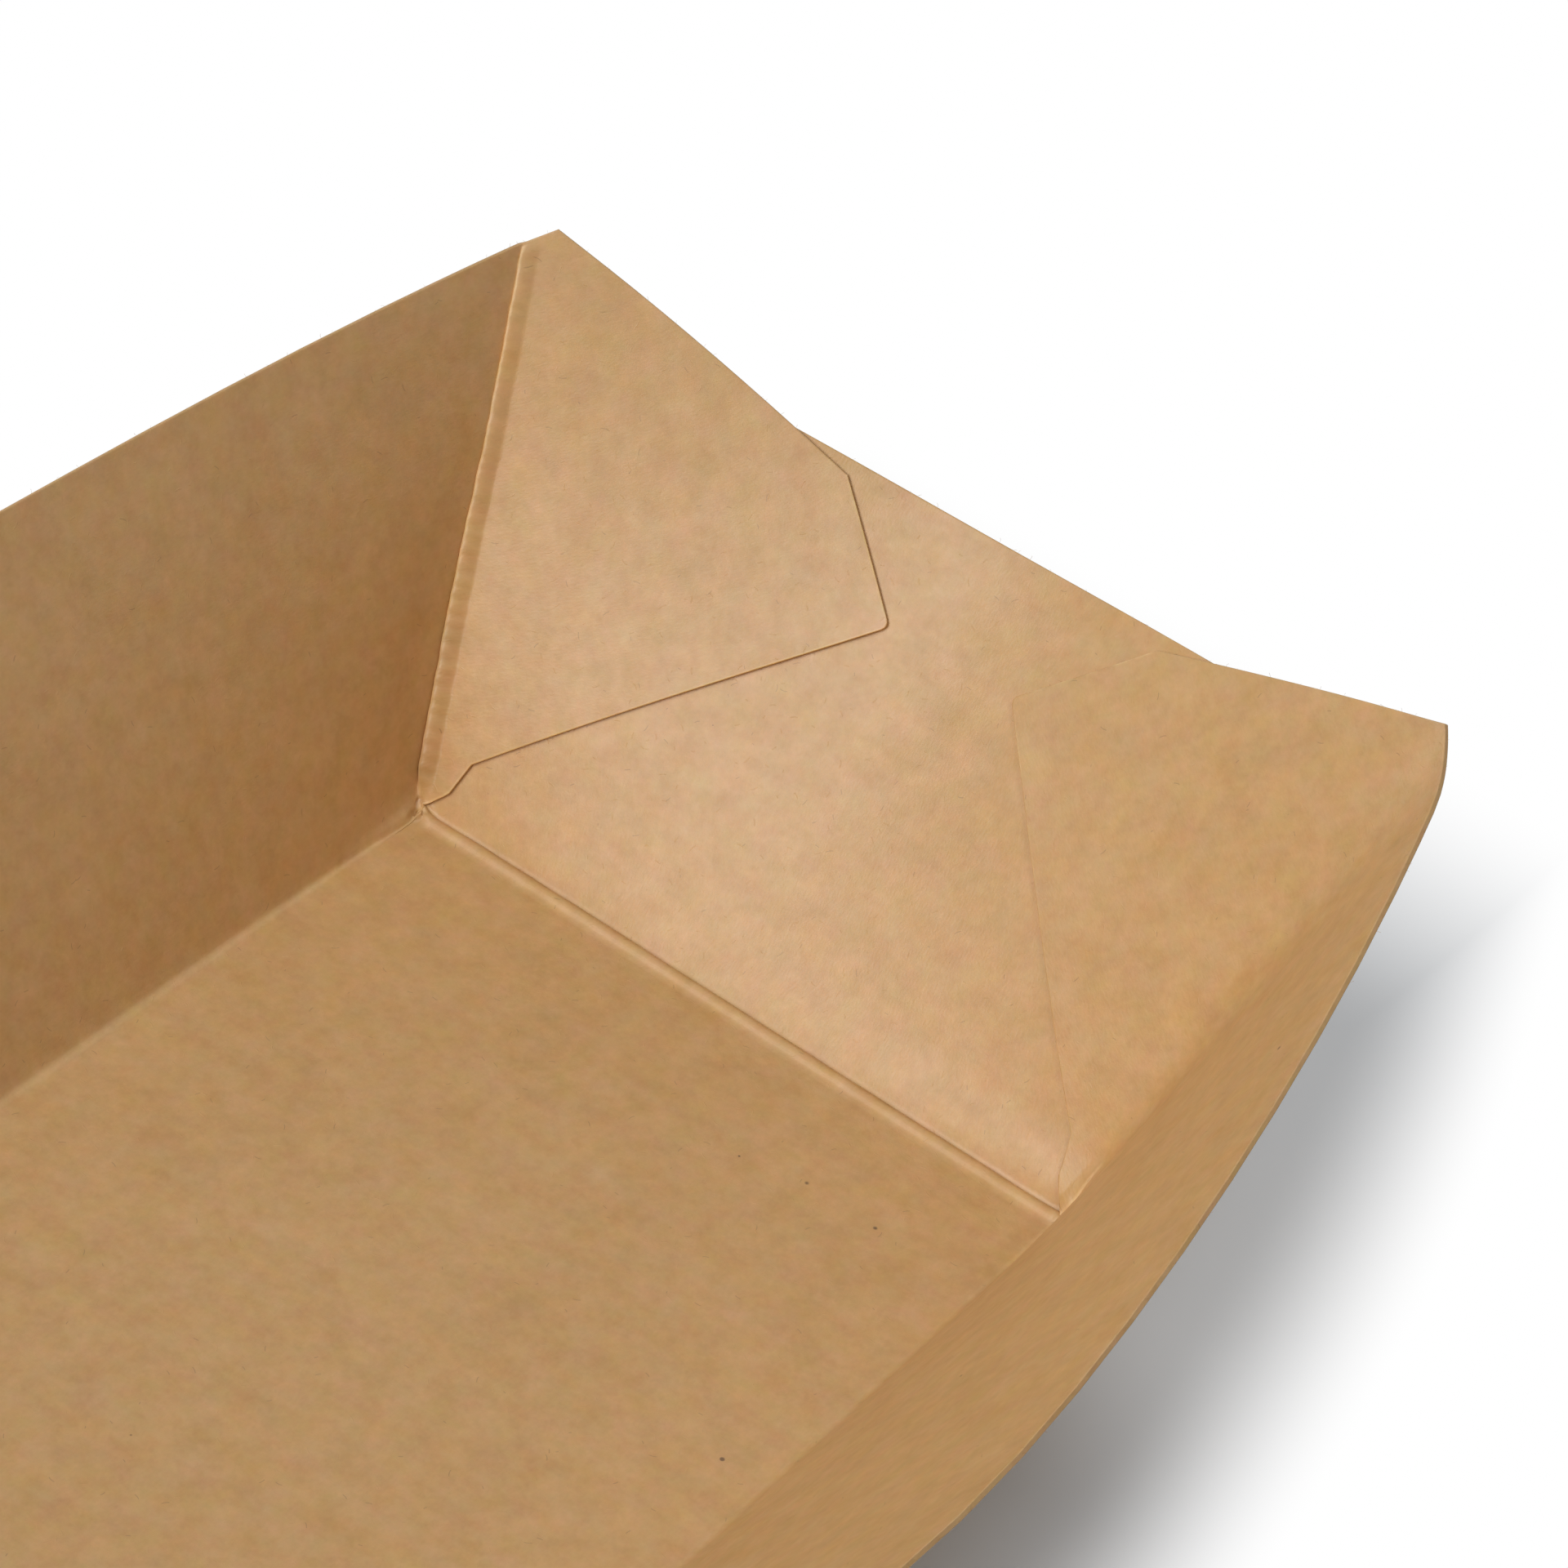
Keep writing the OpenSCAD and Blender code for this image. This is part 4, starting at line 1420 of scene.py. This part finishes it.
def white_world(fill):
    """Even white surroundings, which the picture shows as plain white."""
    world = bpy.data.worlds.new("white_surroundings")
    world.use_nodes = True
    tree = world.node_tree
    tree.nodes.clear()
    t = Tree(tree)
    strength = t.maths("MULTIPLY_ADD", seen_share(t), 1.0 - fill, fill)
    back = t.node("ShaderNodeBackground", {"Color": WHITE, "Strength": strength})
    t.node("ShaderNodeOutputWorld", {"Surface": back.outputs[0]})
    return world


# What the lamps look at
LAMP_TARGET = (0.0, 0.0, 0.02)

# The camera's azimuth, elevation and roll in degrees and its place and lens in millimetres, as fitted
# to the picture
CAMERA_TURN = (28.715, 38.864, 11.914)
CAMERA_PLACE = (153.42, -215.69, 282.45)
CAMERA_LENS = 113.94
CAMERA_SENSOR = 36.0
CAMERA_NEAREST = 0.01


def softbox(name, azimuth, elevation, distance, size, power):
    """A square lamp that looks at the tray."""
    a, e = math.radians(azimuth), math.radians(elevation)
    way = Vector((math.sin(a) * math.cos(e), -math.cos(a) * math.cos(e), math.sin(e)))
    data = bpy.data.lights.new(name, "AREA")
    data.shape = "SQUARE"
    data.size = size
    data.energy = power
    lamp = new_object(name, data)
    lamp.location = Vector(LAMP_TARGET) + way * distance
    lamp.rotation_euler = way.to_track_quat("Z", "Y").to_euler()


def photo_camera():
    """The camera at the picture's angle: above the right wall, looking at the far left corner."""
    azimuth, elevation, roll = map(math.radians, CAMERA_TURN)
    data = bpy.data.cameras.new("camera")
    data.sensor_width = CAMERA_SENSOR
    data.lens = CAMERA_LENS
    data.clip_start = CAMERA_NEAREST
    camera = new_object("camera", data)
    turn = Matrix.Rotation(azimuth, 4, "Z") @ Matrix.Rotation(math.pi / 2 - elevation, 4, "X")
    place = Matrix.Translation(Vector(CAMERA_PLACE) * MM)
    camera.matrix_world = place @ turn @ Matrix.Rotation(roll, 4, "Z")
    bpy.context.scene.camera = camera


# Operators


class SNACKTRAY_OT_board(Operator):
    """Fold the tray from its blank and press up its creases"""

    bl_idname = "snack_tray.board"
    bl_label = "Fold the Tray"

    def execute(self, context):
        tray = context.scene.snack_tray_shape
        creases = context.scene.snack_tray_creases
        finish = context.scene.snack_tray_finish
        board = new_object(BOARD_NAME, board_mesh(tray, creases))
        values = {
            "Wave Depth": creases.wave_depth,
            "Wave Length": creases.wave_length,
            "Corner": floor_corner(tray).tolist(),
            "Reach": creases.crush_reach,
            "Depth": creases.crush_depth,
            "Right Share": creases.crush_right,
            "Grain": creases.crush_grain,
            "Seed": float(creases.seed),
        }
        for crease in CREASES:
            for part in BEAD_PARTS:
                setting = f"{crease}_{part}".lower()
                values[f"{crease.title()} {part}"] = getattr(creases, setting)
        for surface, look in SURFACES.items():
            values[surface] = kraft(*look, finish, from_blank=surface != "Cut Edge")
        rough_mesh = board.data
        board.data = grown_mesh(board, press_tree(), values)
        bpy.data.meshes.remove(rough_mesh)
        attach(board, BODY)
        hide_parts(NODE)
        return {"FINISHED"}


class SNACKTRAY_OT_fibres(Operator):
    """Stand stray fibres out of the cut edges"""

    bl_idname = "snack_tray.fibres"
    bl_label = "Add Edge Fibres"

    def execute(self, context):
        finish = context.scene.snack_tray_finish
        fibres = new_object(FIBRES_NAME, bpy.data.objects[BOARD_NAME].data.copy())
        values = {
            "Density": finish.fibre_density,
            "Length": finish.fibre_length,
            "Radius": finish.fibre_radius,
            "Seed": finish.fibre_seed,
            "Finish": kraft(*FIBRE_SURFACE, finish, from_blank=False),
        }
        board_copy = fibres.data
        fibres.data = grown_mesh(fibres, fibre_tree(), values)
        bpy.data.meshes.remove(board_copy)
        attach(fibres, BODY)
        return {"FINISHED"}


class SNACKTRAY_OT_stage(Operator):
    """Set up the floor, the lamps and the camera"""

    bl_idname = "snack_tray.stage"
    bl_label = "Set the Stage"

    def execute(self, context):
        studio = context.scene.snack_tray_studio
        mesh = bpy.data.meshes.new("floor")
        ways = ((-1, -1), (1, -1), (1, 1), (-1, 1))
        corners = [(x * FLOOR_REACH, y * FLOOR_REACH, 0.0) for x, y in ways]
        mesh.from_pydata(corners, [], [(0, 1, 2, 3)])
        mesh.materials.append(floor_material(studio, context.scene.snack_tray_shape))
        new_object("floor", mesh)
        context.scene.world = white_world(studio.fill)
        for name, place_and_size in SOFTBOXES.items():
            softbox(f"{name}_softbox", *place_and_size, getattr(studio, name))
        photo_camera()
        context.scene.view_settings.view_transform = "Standard"
        return {"FINISHED"}


class SNACKTRAY_PT_panel(Panel):
    """Snack tray settings"""

    bl_label = "Snack Tray"
    bl_idname = "SNACKTRAY_PT_panel"
    bl_space_type = "VIEW_3D"
    bl_region_type = "UI"
    bl_category = "Snack Tray"

    def draw(self, context):
        layout = self.layout
        for step in STEPS:
            layout.operator(step.bl_idname)
        for name, group in SETTINGS.items():
            box = layout.box()
            box.label(text=group.__doc__)
            for setting in group.__annotations__:
                box.prop(getattr(context.scene, name), setting)


SETTINGS = {
    "snack_tray_shape": TrayShape,
    "snack_tray_creases": TrayCreases,
    "snack_tray_finish": KraftFinish,
    "snack_tray_studio": TrayStudio,
}
STEPS = (SNACKTRAY_OT_board, SNACKTRAY_OT_fibres, SNACKTRAY_OT_stage)
CLASSES = (*SETTINGS.values(), *STEPS, SNACKTRAY_PT_panel)


def register():
    for made in CLASSES:
        bpy.utils.register_class(made)
    for name, group in SETTINGS.items():
        setattr(bpy.types.Scene, name, PointerProperty(type=group))


def unregister():
    for name in SETTINGS:
        delattr(bpy.types.Scene, name)
    for made in reversed(CLASSES):
        bpy.utils.unregister_class(made)


def main():
    register()
    bpy.ops.snack_tray.board()
    bpy.ops.snack_tray.fibres()
    bpy.ops.snack_tray.stage()


if __name__ == "__main__":
    main()
